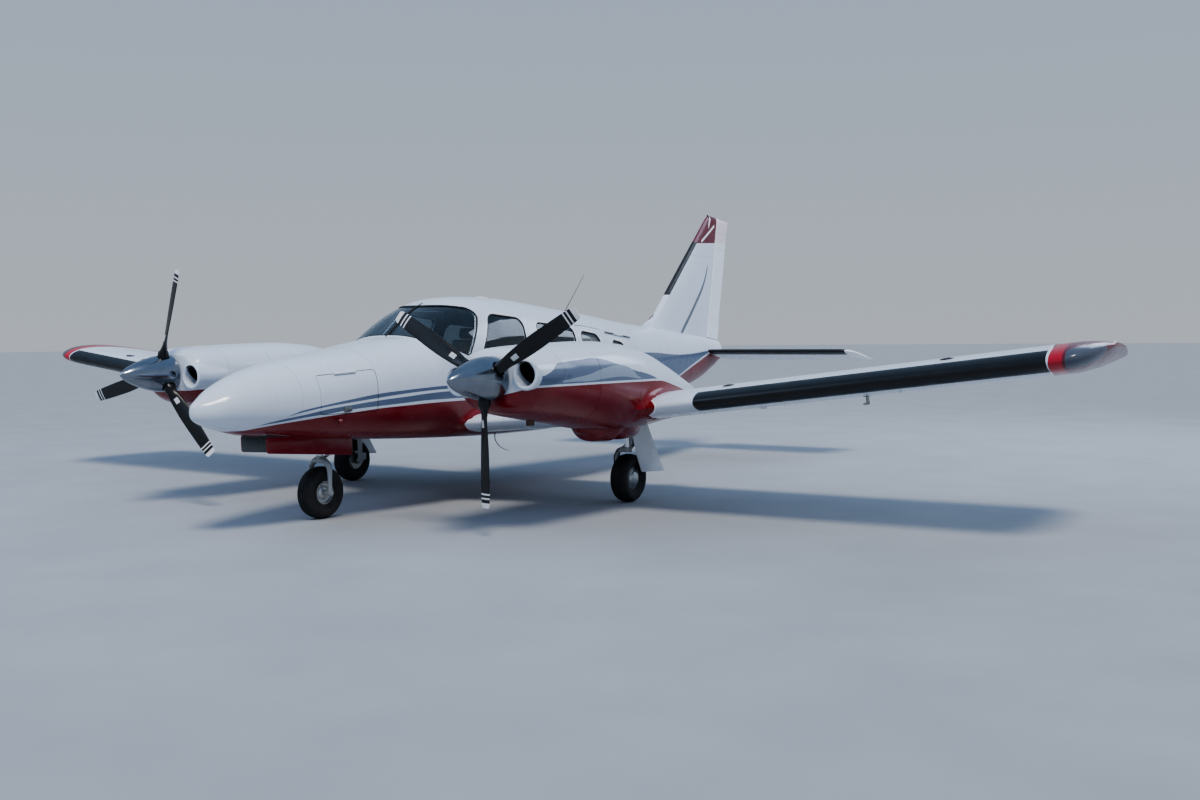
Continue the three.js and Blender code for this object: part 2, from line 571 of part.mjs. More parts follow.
const tabBox = block(0, tabLine + 300 + SEAT_GAP, 0, 2 * TAB.half - 8, 600, 200);
const tabBody = joined(stabHalf(1), stabHalf(-1), block(0, tabLine + 60, 0, 2 * STAB.root + 60, 110, 12)).intersect(tabBox);
add(stabGroup, 'stabilator_tab', tabBody, 'white');

// Wings, engines and main gear, built to port and mirrored to starboard

const wingSolid = loft(WING.map(wingRing));
const tipSolid = loft(TIP.map(wingRing));

function controlSurface({ from, to, hingeY }) {
  const { z, radius } = wingMiddle(hingeY);
  const between = (a, b, grow) => joined(
    block((a + b) / 2, hingeY + 500 - grow, z, b - a, 1000, 400),
    rod([a, hingeY, z], [b, hingeY, z], radius + grow, 14));
  const body = wingSolid.intersect(between(from + RUN_GAP, to - RUN_GAP, 0));
  const pins = [[from + SEAT_GAP, from + 40], [to - 40, to - SEAT_GAP]].map(([a, b]) =>
    rod([a, hingeY, z], [b, hingeY, z], 12, 12));
  return { bay: between(from, to, RUN_GAP), body: joined(body, ...pins) };
}

const flap = controlSurface(FLAP);
const aileron = controlSurface(AILERON);
const toWorld = new THREE.Matrix4().makeRotationY(-DIHEDRAL).setPosition(0, 0, ROOT_Z);
const intoWing = toWorld.clone().invert();
const moved = (solid, matrix) => solid.transform(matrix.elements);
const wheelWell = rod([1080, GEAR.mainY, -200], [1080, GEAR.mainY, 5], 250, 14)
  .add(block(1400, GEAR.mainY, -100, 620, 150, 210));
const wingBody = cut(wingSolid, moved(hullCutter, intoWing), flap.bay, aileron.bay, wheelWell);
const wingCutter = loft(WING.map(([s, y, c, t, raise]) => wingRing([s, y - 1, c + 2, t + 0.0008, raise])));

const cowlFace = NACELLE[0][0];
const cowlSolid = nacelle(-LENGTH, COWL_END);
const cowlInner = nacelle(-3070, COWL_END, -COWL_WALL, INNER_RING);
const inlets = INLET.z.map((z, i) => {
  const x = PROP.x + (2 * i - 1) * INLET.dx;
  return {
    lip: rod([x, cowlFace - INLET.reach, z], [x, cowlFace + 160, z], INLET.outer, 12),
    bore: rod([x, cowlFace - 200, z], [x, cowlFace + 200, z], INLET.inner, 12),
  };
});
const shaftHole = rod([PROP.x, cowlFace - 100, PROP.z], [PROP.x, cowlFace + 100, PROP.z], 62, 16);
const exhaustHole = rod([PROP.x - 120, -2475, 600], [PROP.x - 120, -2475, 900], 50, 10);
const cowl = cut(joined(cowlSolid, inlets[0].lip, inlets[1].lip), cowlInner, inlets[0].bore, inlets[1].bore, shaftHole, exhaustHole);
const legX = TRACK / 2;
const legPocket = rod([legX, GEAR.mainY, 500], [legX, GEAR.mainY, 900], 42 + SEAT_GAP, 12);
const overFlap = loft(WING.map(([s, y, c, t, raise]) => wingRing([s, y, c, t + 0.021, raise])))
  .intersect(block(1500, -150, 0, 4000, 640, 800));
const nacelleBody = cut(nacelle(COWL_END, 0), moved(joined(wingCutter, overFlap), toWorld), legPocket);
const blisterSolid = loft([[-1965, 60, 705], [-1850, 160, 622], [-1640, 185, 598], [-1330, 160, 604], [-1235, 70, 690]]
  .map(([y, w, z]) => ovalRing(PROP.x - 60, y, w, 800, z, 760, 2.2, 2.2, 16)));
const blister = cut(blisterSolid, moved(wingCutter, toWorld));

const engineBack = COWL_END - SEAT_GAP;
const engine = joined(
  block(PROP.x, (engineBack + ENGINE.front) / 2, ENGINE.z, ENGINE.width, engineBack - ENGINE.front, ENGINE.bank),
  block(PROP.x, (engineBack + ENGINE.front) / 2, ENGINE.z, ENGINE.crankcase, engineBack - ENGINE.front, ENGINE.height),
  rod([PROP.x, -2900, PROP.z], [PROP.x, PROP.y + 100 + SEAT_GAP, PROP.z], 44, 12),
  rod([PROP.x - 120, -2475, 785], [PROP.x - 120, -2475, 1050], 32, 8));

// Spinner: a long pointed cone with a flat back, and blades that are lofted along their length
const SPINNER_BACK = PROP.y + 100;
const spinnerProfile = [[0, -407], [60, -335], [124, -180], [158, -40], [167, 100], [0, 100]];
function spinner(side) {
  const body = turned(spinnerProfile, 'y', PROP.x, PROP.y, PROP.z, 20);
  const hole = blade(2 * SEAT_GAP);
  return cut(body, ...bladeAngles(side).map((a) => moved(hole, bladePlace(a))), hub(SEAT_GAP));
}
const hub = (grow) => rod([PROP.x, PROP.y - 60 - grow, PROP.z], [PROP.x, SPINNER_BACK + (grow ? 50 : -SEAT_GAP), PROP.z], 80 + grow, 12);
const bladePlace = (a) => new THREE.Matrix4().makeRotationY(a).setPosition(PROP.x, PROP.y + 10, PROP.z);
const FIRST_BLADE = { left: Math.PI, right: -0.287 };
const bladeAngles = (side) => [0, 1, 2].map((k) => FIRST_BLADE[side] + (2 * Math.PI * k) / PROP.blades);
// radius, chord, thickness, pitch in degrees
const BLADE = [
  [60, 96, 96, 45],
  [185, 96, 96, 45],
  [230, 88, 50, 41],
  [310, 108, 30, 35],
  [520, 126, 19, 26],
  [750, 116, 13, 20],
  [925, 100, 8, 17],
  [PROP.radius, 80, 5, 16.5],
];
function blade(grow = 0) {
  const rings = BLADE.map(([r, chord, thick, pitch]) => {
    const turn = THREE.MathUtils.degToRad(pitch);
    return Array.from({ length: 8 }, (_, i) => {
      const a = (2 * Math.PI * i) / 8;
      const u = (chord / 2 + grow) * Math.cos(a), v = (thick / 2 + grow) * Math.sin(a);
      // the blade stands up along z, its leading edge inboard and forward
      return new THREE.Vector3(-u * Math.cos(turn) + v * Math.sin(turn), -u * Math.sin(turn) - v * Math.cos(turn), r);
    });
  });
  return loft(rings);
}
function propeller(side) {
  const one = blade();
  return joined(hub(0), ...bladeAngles(side).map((a) => moved(one, bladePlace(a))));
}

// Wheels
const WHEEL = { rim: 112, bore: 20, sides: 20 };
function tyreProfile(w, r, inner) {
  const h = w / 2;
  return [[inner, -h * 0.62], [inner + 30, -h * 0.97], [r - 34, -h], [r, -h * 0.35],
    [r, h * 0.35], [r - 34, h], [inner + 30, h * 0.97], [inner, h * 0.62], [inner, -h * 0.62]];
}
function rimSolid(x, y, z, width, capSide) {
  const h = width / 2;
  const body = turned([[0, -h + 12], [84, -h + 12], [WHEEL.rim, -h], [WHEEL.rim, h], [84, h - 12], [0, h - 12]],
    'x', x, y, z, WHEEL.sides);
  const bore = rod([x - 200, y, z], [x + 200, y, z], WHEEL.bore + PIN_GAP, PIN_SIDES);
  const cap = capSide ? turned([[0, 0], [60, 0], [44, 30], [0, 34]].map(([r, d]) => [r, d * capSide + (h - 16) * capSide]), 'x', x, y, z, WHEEL.sides) : null;
  const open = cut(body, bore);
  return cap ? joined(open, cap) : open;
}
const noseWheelZ = GEAR.tyreRadius;
function wheelPair(parent, label, x, y, capSide) {
  add(parent, `${label}_tyre`, turned(tyreProfile(GEAR.tyreWidth, GEAR.tyreRadius, WHEEL.rim + SEAT_GAP), 'x', x, y, noseWheelZ, WHEEL.sides), 'rubber');
  add(parent, `${label}_rim`, rimSolid(x, y, noseWheelZ, 104, capSide), 'steel');
}
const noseWheelGroup = new THREE.Group();
aircraft.add(noseWheelGroup);
wheelPair(noseWheelGroup, 'nose', 0, GEAR.noseY, 0);

// Nose gear: a fixed outer cylinder, and below it the piston, fork and axle that steer
const WELL_CEILING = 830;
const PISTON = 24;
const outerNose = cut(joined(
  rod([0, GEAR.noseY, 560], [0, GEAR.noseY, 880], 40, 12),
  rod([0, GEAR.noseY + 20, 600], [0, -2960, 800], 16, 8),
  block(0, GEAR.noseY, 740, 262, 50, 40)),
rod([0, GEAR.noseY, 500], [0, GEAR.noseY, 800], PISTON + PIN_GAP, PIN_SIDES));
add(aircraft, 'nose_leg', outerNose.intersect(block(0, -3200, 600, 360, 900, 2 * (WELL_CEILING - SEAT_GAP - 600))), 'steel');
const forkX = 108;
const AXLE_END = 134; // the flat end of each tow pin
const forkLeg = (side) => joined(
  rod([side * 30, GEAR.noseY, 478], [side * forkX, GEAR.noseY, 440], 17, 8),
  rod([side * forkX, GEAR.noseY, 448], [side * forkX, GEAR.noseY, noseWheelZ - 16], 17, 8));
const fork = joined(
  rod([0, GEAR.noseY, 462], [0, GEAR.noseY, 780], PISTON, PIN_SIDES),
  block(0, GEAR.noseY, 478, 110, 70, 40),
  forkLeg(1), forkLeg(-1),
  rod([-AXLE_END, GEAR.noseY, noseWheelZ], [AXLE_END, GEAR.noseY, noseWheelZ], WHEEL.bore, PIN_SIDES));
const scissor = joined(
  rod([0, GEAR.noseY + 30, 486], [0, GEAR.noseY + 96, 520], 12, 4),
  rod([0, GEAR.noseY + 96, 520], [0, GEAR.noseY + 52, 572], 12, 4));
add(aircraft, 'nose_fork', joined(fork, scissor), 'steel');
[['nose_gear_door_left', 1], ['nose_gear_door_right', -1]].forEach(([name, side]) => {
  const outline = [[-3778, 724], [-2845, 668], [-2845, 512], [-3772, 600]];
  const plate = sidePrism(outline, side > 0 ? 138 : -146, side > 0 ? 146 : -138, 18);
  add(aircraft, name, cut(plate, hullCutter), 'red');
});

function makeSide(side) {
  const group = new THREE.Group();
  if (side === 'right') group.scale.x = -1;
  aircraft.add(group);
  const panel = new THREE.Group();
  panel.rotation.y = -DIHEDRAL;
  panel.position.z = ROOT_Z;
  group.add(panel);
  add(panel, `wing_${side}`, wingBody, 'white');
  add(panel, `wingtip_${side}`, cut(tipSolid, block(5460 + SEAT_GAP, -900, 0, 200, 3000, 600)), 'red');
  add(panel, `flap_${side}`, flap.body, 'white');
  add(panel, `aileron_${side}`, aileron.body, 'white');
  add(group, `cowl_${side}`, cowl, 'white');
  add(group, `nacelle_${side}`, joined(nacelleBody, blister), 'white');
  add(group, `engine_${side}`, engine, 'steel');
  add(group, `spinner_${side}`, spinner(side), 'silver');
  add(group, `propeller_${side}`, propeller(side), 'black');
  const x = TRACK / 2, y = GEAR.mainY;
  wheelPair(group, `main_${side}`, x, y, 1);
  const wingUnder = moved(wingCutter, toWorld);
  const leg = joined(
    rod([legX, y, 520], [legX, y, 900], 42, 12),
    rod([legX, y, 455], [legX, y, 560], 26, 10),
    block(x - 61, y, 468, 150, 84, 42),
    rod([x - 112, y, 470], [x - 112, y, GEAR.tyreRadius - 10], 24, 8),
    rod([x - 130, y, GEAR.tyreRadius], [x + 34, y, GEAR.tyreRadius], WHEEL.bore, PIN_SIDES),
    rod([legX, y + 30, 470], [legX, y + 92, 505], 11, 4),
    rod([legX, y + 92, 505], [legX, y + 40, 560], 11, 4));
  add(group, `main_leg_${side}`, cut(leg, wingUnder), 'steel');
  const doorOutline = [[-1000, 736], [-885, 262], [-480, 243], [-785, 732]];
  const plate = joined(
    sidePrism(doorOutline, x + 91, x + 99, 14),
    rod([legX + 42 + SEAT_GAP, y, 610], [x + 92, y, 610], 9, 6));
  add(group, `main_gear_door_${side}`, cut(plate, wingUnder, nacelle(COWL_END, 0, SEAT_GAP), legPocket), 'white');
}
makeSide('left');
makeSide('right');

export default aircraft;
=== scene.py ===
# %% [markdown]
# # A light twin piston aircraft, dressed for its picture
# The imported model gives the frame: every piece at its real place and size, with its joints. This lesson
# puts a finer skin, paint, glass, rubber and cloth over that frame, one piece after another.
# All lengths are written in millimetres and turned to metres by one value, because Blender counts metres.

# %% Load the frame
import bisect
import json
import math

import bmesh
import bpy
from mathutils import Matrix, Vector

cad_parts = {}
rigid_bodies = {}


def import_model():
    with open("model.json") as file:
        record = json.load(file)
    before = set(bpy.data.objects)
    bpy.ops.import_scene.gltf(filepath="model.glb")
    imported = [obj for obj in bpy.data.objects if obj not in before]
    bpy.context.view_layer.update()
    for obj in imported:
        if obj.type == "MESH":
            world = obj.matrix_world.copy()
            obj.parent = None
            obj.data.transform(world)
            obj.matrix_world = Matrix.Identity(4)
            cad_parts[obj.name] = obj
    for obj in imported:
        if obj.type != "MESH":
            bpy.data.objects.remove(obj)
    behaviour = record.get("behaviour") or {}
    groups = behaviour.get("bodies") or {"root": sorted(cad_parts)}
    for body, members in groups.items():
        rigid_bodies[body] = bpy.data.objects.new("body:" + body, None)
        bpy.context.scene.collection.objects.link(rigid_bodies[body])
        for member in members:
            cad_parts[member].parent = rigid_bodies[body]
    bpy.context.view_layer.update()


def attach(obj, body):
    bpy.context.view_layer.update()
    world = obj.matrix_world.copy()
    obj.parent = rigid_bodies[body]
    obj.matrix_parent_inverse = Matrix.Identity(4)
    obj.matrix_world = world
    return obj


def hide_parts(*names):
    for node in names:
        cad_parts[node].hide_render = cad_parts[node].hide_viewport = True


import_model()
MM = 0.001
SIDES = {"left": 1, "right": -1}


# %% [markdown]
# ## The camera
# The photograph was taken from ahead of the port wing tip, at the height of a standing person. Its place
# and turn were solved from the wheels, the propellers and the tail, so they are written as numbers here.
# The view is turned by yaw, then pitch, then a slight roll, which is easiest to read as three directions.

# %% The camera
CAMERA_PLACE = Vector((7.436, -10.364, 1.496))
YAW, PITCH, ROLL = -0.5711, -0.0527, -0.0079
LENS = 37.03


def camera_turn(yaw, pitch, roll):
    ahead = Vector((math.sin(yaw) * math.cos(pitch), math.cos(yaw) * math.cos(pitch), math.sin(pitch)))
    level = Vector((math.cos(yaw), -math.sin(yaw), 0))
    up = level.cross(ahead)
    right = math.cos(roll) * level + math.sin(roll) * up
    top = math.cos(roll) * up - math.sin(roll) * level
    return Matrix((right, top, -ahead)).transposed().to_4x4()


camera = bpy.data.objects.new("camera", bpy.data.cameras.new("camera"))
camera.data.lens = LENS
camera.data.clip_end = 200
camera.matrix_world = Matrix.Translation(CAMERA_PLACE) @ camera_turn(YAW, PITCH, ROLL)
bpy.context.scene.collection.objects.link(camera)
bpy.context.scene.camera = camera
print("camera at", tuple(CAMERA_PLACE), "lens", LENS)


# %% [markdown]
# ## Helpers for shapes
# Almost every skin here is a sheet of quads that is rolled up: a grid gives the quads, and one function
# per body tells each point where to go. Ends are closed, seams merged, and only then are the normals
# recalculated. Openings are cut with Boolean modifiers, which are baked into the mesh at once so that the
# finished object carries no modifier and no second object.


# %% Helpers for shapes
SMOOTH_BELOW = 38


def add_piece(name, bm, *materials, smooth=SMOOTH_BELOW):
    mesh = bpy.data.meshes.new(name)
    bm.to_mesh(mesh)
    bm.free()
    for material in materials:
        mesh.materials.append(material)
    mesh.shade_smooth()
    mesh.set_sharp_from_angle(angle=math.radians(smooth))
    piece = bpy.data.objects.new(name, mesh)
    bpy.context.scene.collection.objects.link(piece)
    return piece


def finish_piece(piece, body, slot, *nodes):
    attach(piece, body)
    if nodes:
        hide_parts(*nodes)
    return piece


def rolled_sheet(rows, columns, place, caps=True):
    """place(along, around) gives the point for shares from 0 to 1 of the two directions."""
    bm = bmesh.new()
    bmesh.ops.create_grid(bm, x_segments=columns, y_segments=rows, size=0.5)
    for vert in bm.verts:
        vert.co = place(vert.co.y + 0.5, vert.co.x + 0.5)
    bmesh.ops.remove_doubles(bm, verts=bm.verts, dist=1e-5)
    if caps:
        bmesh.ops.holes_fill(bm, edges=bm.edges, sides=0)
    bmesh.ops.recalc_face_normals(bm, faces=bm.faces)
    return bm


def bake(piece):
    depsgraph = bpy.context.evaluated_depsgraph_get()
    made = bpy.data.meshes.new_from_object(piece.evaluated_get(depsgraph))
    piece.modifiers.clear()
    piece.data = made
    return piece


def carve(piece, tool, operation="DIFFERENCE"):
    """Cuts the tool out of the piece, or keeps only what lies inside the tool."""
    modifier = piece.modifiers.new("carve", "BOOLEAN")
    modifier.object = tool
    modifier.operation = operation
    modifier.solver = "EXACT"
    bake(piece)
    piece.data.shade_smooth()
    piece.data.set_sharp_from_angle(angle=math.radians(SMOOTH_BELOW))
    bpy.data.objects.remove(tool)
    return piece


def copy_piece(piece, name):
    copy = piece.copy()
    copy.data = piece.data.copy()
    copy.name = name
    bpy.context.scene.collection.objects.link(copy)
    return copy


print("piece helpers ready")


# %% [markdown]
# ## Prisms, rods, boxes and turned forms
# Hard parts start from a few simple forms whose edges are rounded: an outline run through from side to
# side, a rod between two points, a box, and a profile spun round an axis. Port pieces are made first, and
# a mirrored copy gives the starboard one.

# %% Prisms, rods, boxes and turned forms
def side_prism(bm, outline, x0, x1, round_by=0.0, steps=6):
    """An outline of [y, z] points in mm with rounded corners, run through from x0 to x1 in mm."""
    earlier = set(bm.faces)
    corners = [bm.verts.new((x0 * MM, y * MM, z * MM)) for y, z in outline]
    bm.faces.new(corners)
    if round_by:
        bmesh.ops.bevel(bm, geom=corners, offset=round_by * MM, offset_type="OFFSET", affect="VERTICES",
                        segments=steps, profile=0.5, material=-1, clamp_overlap=True)
    flat = [face for face in bm.faces if face not in earlier]
    made = bmesh.ops.extrude_face_region(bm, geom=flat)["geom"]
    moved = [item for item in made if isinstance(item, bmesh.types.BMVert)]
    bmesh.ops.translate(bm, verts=moved, vec=((x1 - x0) * MM, 0, 0))


def prism_piece(name, prisms, *materials):
    """One object of several prisms, each given as (outline, x0, x1, round_by)."""
    bm = bmesh.new()
    for outline, x0, x1, round_by in prisms:
        side_prism(bm, outline, x0, x1, round_by)
    bmesh.ops.recalc_face_normals(bm, faces=bm.faces)
    return add_piece(name, bm, *materials)


def grown(outline, by):
    """The outline moved outwards by a distance, or inwards if it is negative."""
    area = sum(a[0] * b[1] - b[0] * a[1] for a, b in zip(outline, outline[1:] + outline[:1]))
    turn = 1 if area > 0 else -1
    moved = []
    for k, point in enumerate(outline):
        before, after = outline[k - 1], outline[(k + 1) % len(outline)]
        into = Vector((point[0] - before[0], point[1] - before[1])).normalized()
        leaving = Vector((after[0] - point[0], after[1] - point[1])).normalized()
        outward = [Vector((way.y, -way.x)) * turn for way in (into, leaving)]
        middle = (outward[0] + outward[1]).normalized()
        moved.append([c + m * by / middle.dot(outward[0]) for c, m in zip(point, middle)])
    return moved


def cylinder(bm, start, end, radius, sides=24, end_radius=None):
    """A rod between two points in mm, or a cone if the radii differ."""
    start, end = Vector(start) * MM, Vector(end) * MM
    axis = end - start
    turn = axis.to_track_quat("Z", "Y").to_matrix().to_4x4()
    return bmesh.ops.create_cone(
        bm, cap_ends=True, segments=sides, radius1=radius * MM, depth=axis.length,
        radius2=(radius if end_radius is None else end_radius) * MM,
        matrix=Matrix.Translation((start + end) / 2) @ turn)["verts"]


def box(bm, centre, size, rounded=0.0, steps=2, turn=None):
    """A box in mm with its edges rounded."""
    place = Matrix.Translation(Vector(centre) * MM) @ (turn or Matrix())
    stretch = Matrix.Diagonal((*[c * MM for c in size], 1))
    made = bmesh.ops.create_cube(bm, size=1.0, matrix=place @ stretch)["verts"]
    if rounded:
        edges = list({edge for vert in made for edge in vert.link_edges})
        bmesh.ops.bevel(bm, geom=edges, offset=rounded * MM, offset_type="OFFSET", affect="EDGES",
                        segments=steps, profile=0.5, material=-1, clamp_overlap=True)


def aligned(across, deep, ahead):
    """The turn that lays X, Y and Z along three directions, with X reversed if they are left-handed."""
    turn = Matrix((across, deep, ahead)).transposed()
    if turn.determinant() < 0:
        turn = Matrix((-across, deep, ahead)).transposed()
    return turn.to_4x4()


def rod_piece(name, material, *rods):
    """One object of several rods, each given as (start, end, radius, sides)."""
    bm = bmesh.new()
    for rod in rods:
        cylinder(bm, *rod)
    return add_piece(name, bm, material)


def lathe(bm, profile, centre, axis="Y", steps=48):
    """A profile of [radius, distance along the axis] in mm, spun once round the axis."""
    across, along = {"X": ((0, 0, 1), (1, 0, 0)), "Y": ((1, 0, 0), (0, 1, 0)),
                     "Z": ((1, 0, 0), (0, 0, 1))}[axis]
    centre, across, along = Vector(centre) * MM, Vector(across), Vector(along)
    line = [bm.verts.new(centre + (across * radius + along * far) * MM) for radius, far in profile]
    edges = [bm.edges.new(pair) for pair in zip(line, line[1:])]
    bmesh.ops.spin(bm, geom=line + edges, cent=centre, axis=along, angle=math.tau, steps=steps,
                   use_merge=True, use_duplicate=False)


def carve_box(piece, centre, size, rounded=0.0, steps=2, operation="DIFFERENCE"):
    tool = bmesh.new()
    box(tool, centre, size, rounded, steps)
    return carve(piece, add_piece("tool", tool), operation)


def carve_rod(piece, start, end, radius, sides):
    tool = bmesh.new()
    cylinder(tool, start, end, radius, sides)
    return carve(piece, add_piece("tool", tool))


def tidy_normals(bm):
    bmesh.ops.remove_doubles(bm, verts=bm.verts, dist=0.01 * MM)
    bmesh.ops.recalc_face_normals(bm, faces=bm.faces)
    return bm


def mirror(piece):
    """Turns a piece into its twin on the other side of the aircraft."""
    piece.data.transform(Matrix.Diagonal((-1, 1, 1, 1)))
    piece.data.flip_normals()
    return piece


def both_sides(piece, body, slot, *nodes):
    """Finishes a port piece and its starboard twin. SIDE in a name stands for left or right."""
    twin = mirror(copy_piece(piece, piece.name.split(".")[0] + "_right"))
    for side, one in (("left", piece), ("right", twin)):
        finish_piece(one, body.replace("SIDE", side), slot, *[name.replace("SIDE", side) for name in nodes])


print("form helpers ready")


# %% [markdown]
# ## Helpers for materials
# One function adds a node, gives it its settings and fills or links its inputs. Colours are written as
# the sRGB values that a paint card gives and turned to linear light by another. All patterns read Object
# coordinates, and since every object sits at the origin, those are the aircraft's own coordinates.


# %% Helpers for materials
def linear(code):
    parts = [int(code[i:i + 2], 16) / 255 for i in (0, 2, 4)]
    return (*[c / 12.92 if c <= 0.04045 else ((c + 0.055) / 1.055) ** 2.4 for c in parts], 1.0)


def node(material, kind, inputs=None, **settings):
    """Adds a node and returns its first output. An input is a value or another node's output."""
    made = material.node_tree.nodes.new("ShaderNode" + kind)
    for name, value in settings.items():
        setattr(made, name, value)
    for key, value in (inputs or {}).items():
        if isinstance(value, bpy.types.NodeSocket):
            material.node_tree.links.new(value, made.inputs[key])
        else:
            made.inputs[key].default_value = value
    return made.outputs[0] if made.outputs else made


def new_material(name):
    """A material with an empty tree, and its Object coordinates."""
    material = bpy.data.materials.new(name)
    material.use_nodes = True
    material.node_tree.nodes.clear()
    return material, object_place(material)


def object_place(material):
    return node(material, "TexCoord").node.outputs["Object"]


def x_y_z(material, place):
    return tuple(node(material, "SeparateXYZ", {0: place}).node.outputs)


def surface(material, **inputs):
    """The Principled shader and the output. Names have underscores for the spaces of the sockets."""
    named = {key.replace("_", " "): value for key, value in inputs.items()}
    shader = node(material, "BsdfPrincipled", named)
    node(material, "OutputMaterial", {0: shader})
    return material


def grain(material, place, size_mm, low, high, detail=3.0):
    """Noise with lumps of a real size, between two values."""
    noise = node(material, "TexNoise", {"Vector": place, "Scale": 1 / (size_mm * MM), "Detail": detail})
    return node(material, "MapRange", {0: noise, 1: 0.3, 2: 0.7, 3: low, 4: high})


def bumps(material, height, depth_mm, strength=1.0, **onto):
    """Relief of a real depth. Normal=... lays it onto an earlier relief."""
    return node(material, "Bump", {"Height": height, "Distance": depth_mm * MM, "Strength": strength, **onto})


def over(material, mask, below, above):
    """Paints one colour over another where the mask is 1. A colour is a code or an output."""
    below = linear(below) if isinstance(below, str) else below
    above = linear(above) if isinstance(above, str) else above
    return node(material, "Mix", {0: mask, 6: below, 7: above}, data_type="RGBA").node.outputs[2]


print("material helpers ready")


# %% [markdown]
# ## Masked edges of paint
# An aircraft's stripes are sprayed along masking tape, so each stripe is the space between two lines that
# run along the hull. Each line here is a height over the station, held by a Float Curve, and a mask is 1
# above the line and 0 below it, with an edge as soft as 2 mm of tape edge.

# %% Masked edges of paint
STATIONS = (-4400, 4400)
HEIGHTS = (400, 1800)
TAPE_EDGE = 2.5


def line_over(material, along, points, span=STATIONS, rise=HEIGHTS):
    """The height in metres of a line given by [station, height] points in mm."""
    share = node(material, "MapRange", {0: along, 1: span[0] * MM, 2: span[1] * MM})
    height = node(material, "FloatCurve", {"Value": share})
    curve = height.node.mapping.curves[0]
    scaled = [((a - span[0]) / (span[1] - span[0]), (b - rise[0]) / (rise[1] - rise[0])) for a, b in points]
    scaled = [(0.0, scaled[0][1]), *scaled, (1.0, scaled[-1][1])]
    curve.points[0].location, curve.points[1].location = scaled[0], scaled[-1]
    for a, b in scaled[1:-1]:
        curve.points.new(a, b)
    for point in curve.points:
        point.handle_type = "AUTO_CLAMPED"
    height.node.mapping.update()
    return node(material, "MapRange", {0: height, 3: rise[0] * MM, 4: rise[1] * MM})


def beyond(material, value, edge, softness_mm=TAPE_EDGE):
    """1 where the value is past the edge, 0 before it."""
    past = node(material, "Math", {0: value, 1: edge}, operation="SUBTRACT")
    return node(material, "MapRange",
                {0: past, 1: -softness_mm * MM / 2, 2: softness_mm * MM / 2})


def both(material, one, other):
    return node(material, "Math", {0: one, 1: other}, operation="MULTIPLY")


def strongest(material, masks):
    """The largest of several masks at each place."""
    found = masks[0]
    for mask in masks[1:]:
        found = node(material, "Math", {0: found, 1: mask}, operation="MAXIMUM")
    return found


def band(material, value, low, high):
    """1 between two edges, each a number or an output."""
    above = beyond(material, value, low)
    if isinstance(high, bpy.types.NodeSocket):
        return both(material, above, beyond(material, high, value))
    past = beyond(material, value, high)
    return both(material, above, node(material, "Math", {0: 1.0, 1: past}, operation="SUBTRACT"))


def from_axis(material, x, z, axis_x, axis_z):
    """How far a place lies from a line that runs fore and aft on each side, and how far above it."""
    out = node(material, "Math", {0: x}, operation="ABSOLUTE")
    across = node(material, "Math", {0: out, 1: axis_x * MM}, operation="SUBTRACT")
    above = node(material, "Math", {0: z, 1: axis_z * MM}, operation="SUBTRACT")
    flat = node(material, "CombineXYZ", {0: across, 1: above})
    return node(material, "VectorMath", {0: flat}, operation="LENGTH").node.outputs["Value"], above


print("tape edges", TAPE_EDGE, "mm soft")


# %% [markdown]
# ## The paint itself
# Light aircraft are sprayed with two-part polyurethane enamel over primed aluminium: a hard glossy coat
# with a slight orange peel. Under it the skin is thin sheet, so it dips a little between the ribs, and
# flush rivets show as rows of faint dots. The peel, the dips and the rivets are bump, because they are
# fractions of a millimetre deep. The rivets are drawn 5 mm wide and 40 mm apart, coarser than the real
# 3 mm and 25 mm, so that they can be seen at all.

# %% The paint itself
WHITE = "D8E1EE"
RED = "770212"
GREY = "5F6F89"
MAROON = "641029"
RIVET_PITCH = 40
RIVET_WIDTH = 5
SEAM_WIDTH = 4


def rivet_rows(material, across, along, rows):
    """Dots along lines at the given places of one coordinate, in mm, spaced out along the other."""
    wrapped = node(material, "Math", {0: along, 1: RIVET_PITCH * MM / 2}, operation="PINGPONG")
    dots = []
    for place_mm in rows:
        off = node(material, "Math", {0: across, 1: place_mm * MM}, operation="SUBTRACT")
        at = node(material, "CombineXYZ", {0: off, 1: wrapped})
        gap = node(material, "VectorMath", {0: at}, operation="LENGTH").node.outputs["Value"]
        dots.append(node(material, "MapRange",
                         {0: gap, 1: RIVET_WIDTH * MM * 0.35, 2: RIVET_WIDTH * MM * 0.6, 3: 1.0, 4: 0.0}))
    return strongest(material, dots)


def seam_lines(material, across, places):
    """Thin lines where two sheets of skin meet."""
    lines = []
    for place_mm in places:
        off = node(material, "Math", {0: across, 1: place_mm * MM}, operation="SUBTRACT")
        gap = node(material, "Math", {0: off}, operation="ABSOLUTE")
        lines.append(node(material, "MapRange",
                          {0: gap, 1: SEAM_WIDTH * MM * 0.25, 2: SEAM_WIDTH * MM * 0.5, 3: 1.0, 4: 0.0}))
    return strongest(material, lines)


def mottled(size_mm, most, code, shade):
    """A pattern for enamel: one colour with soft patches of another."""
    def pattern(material, x, y, z):
        return over(material, grain(material, object_place(material), size_mm, 0, most), code, shade)
    return pattern


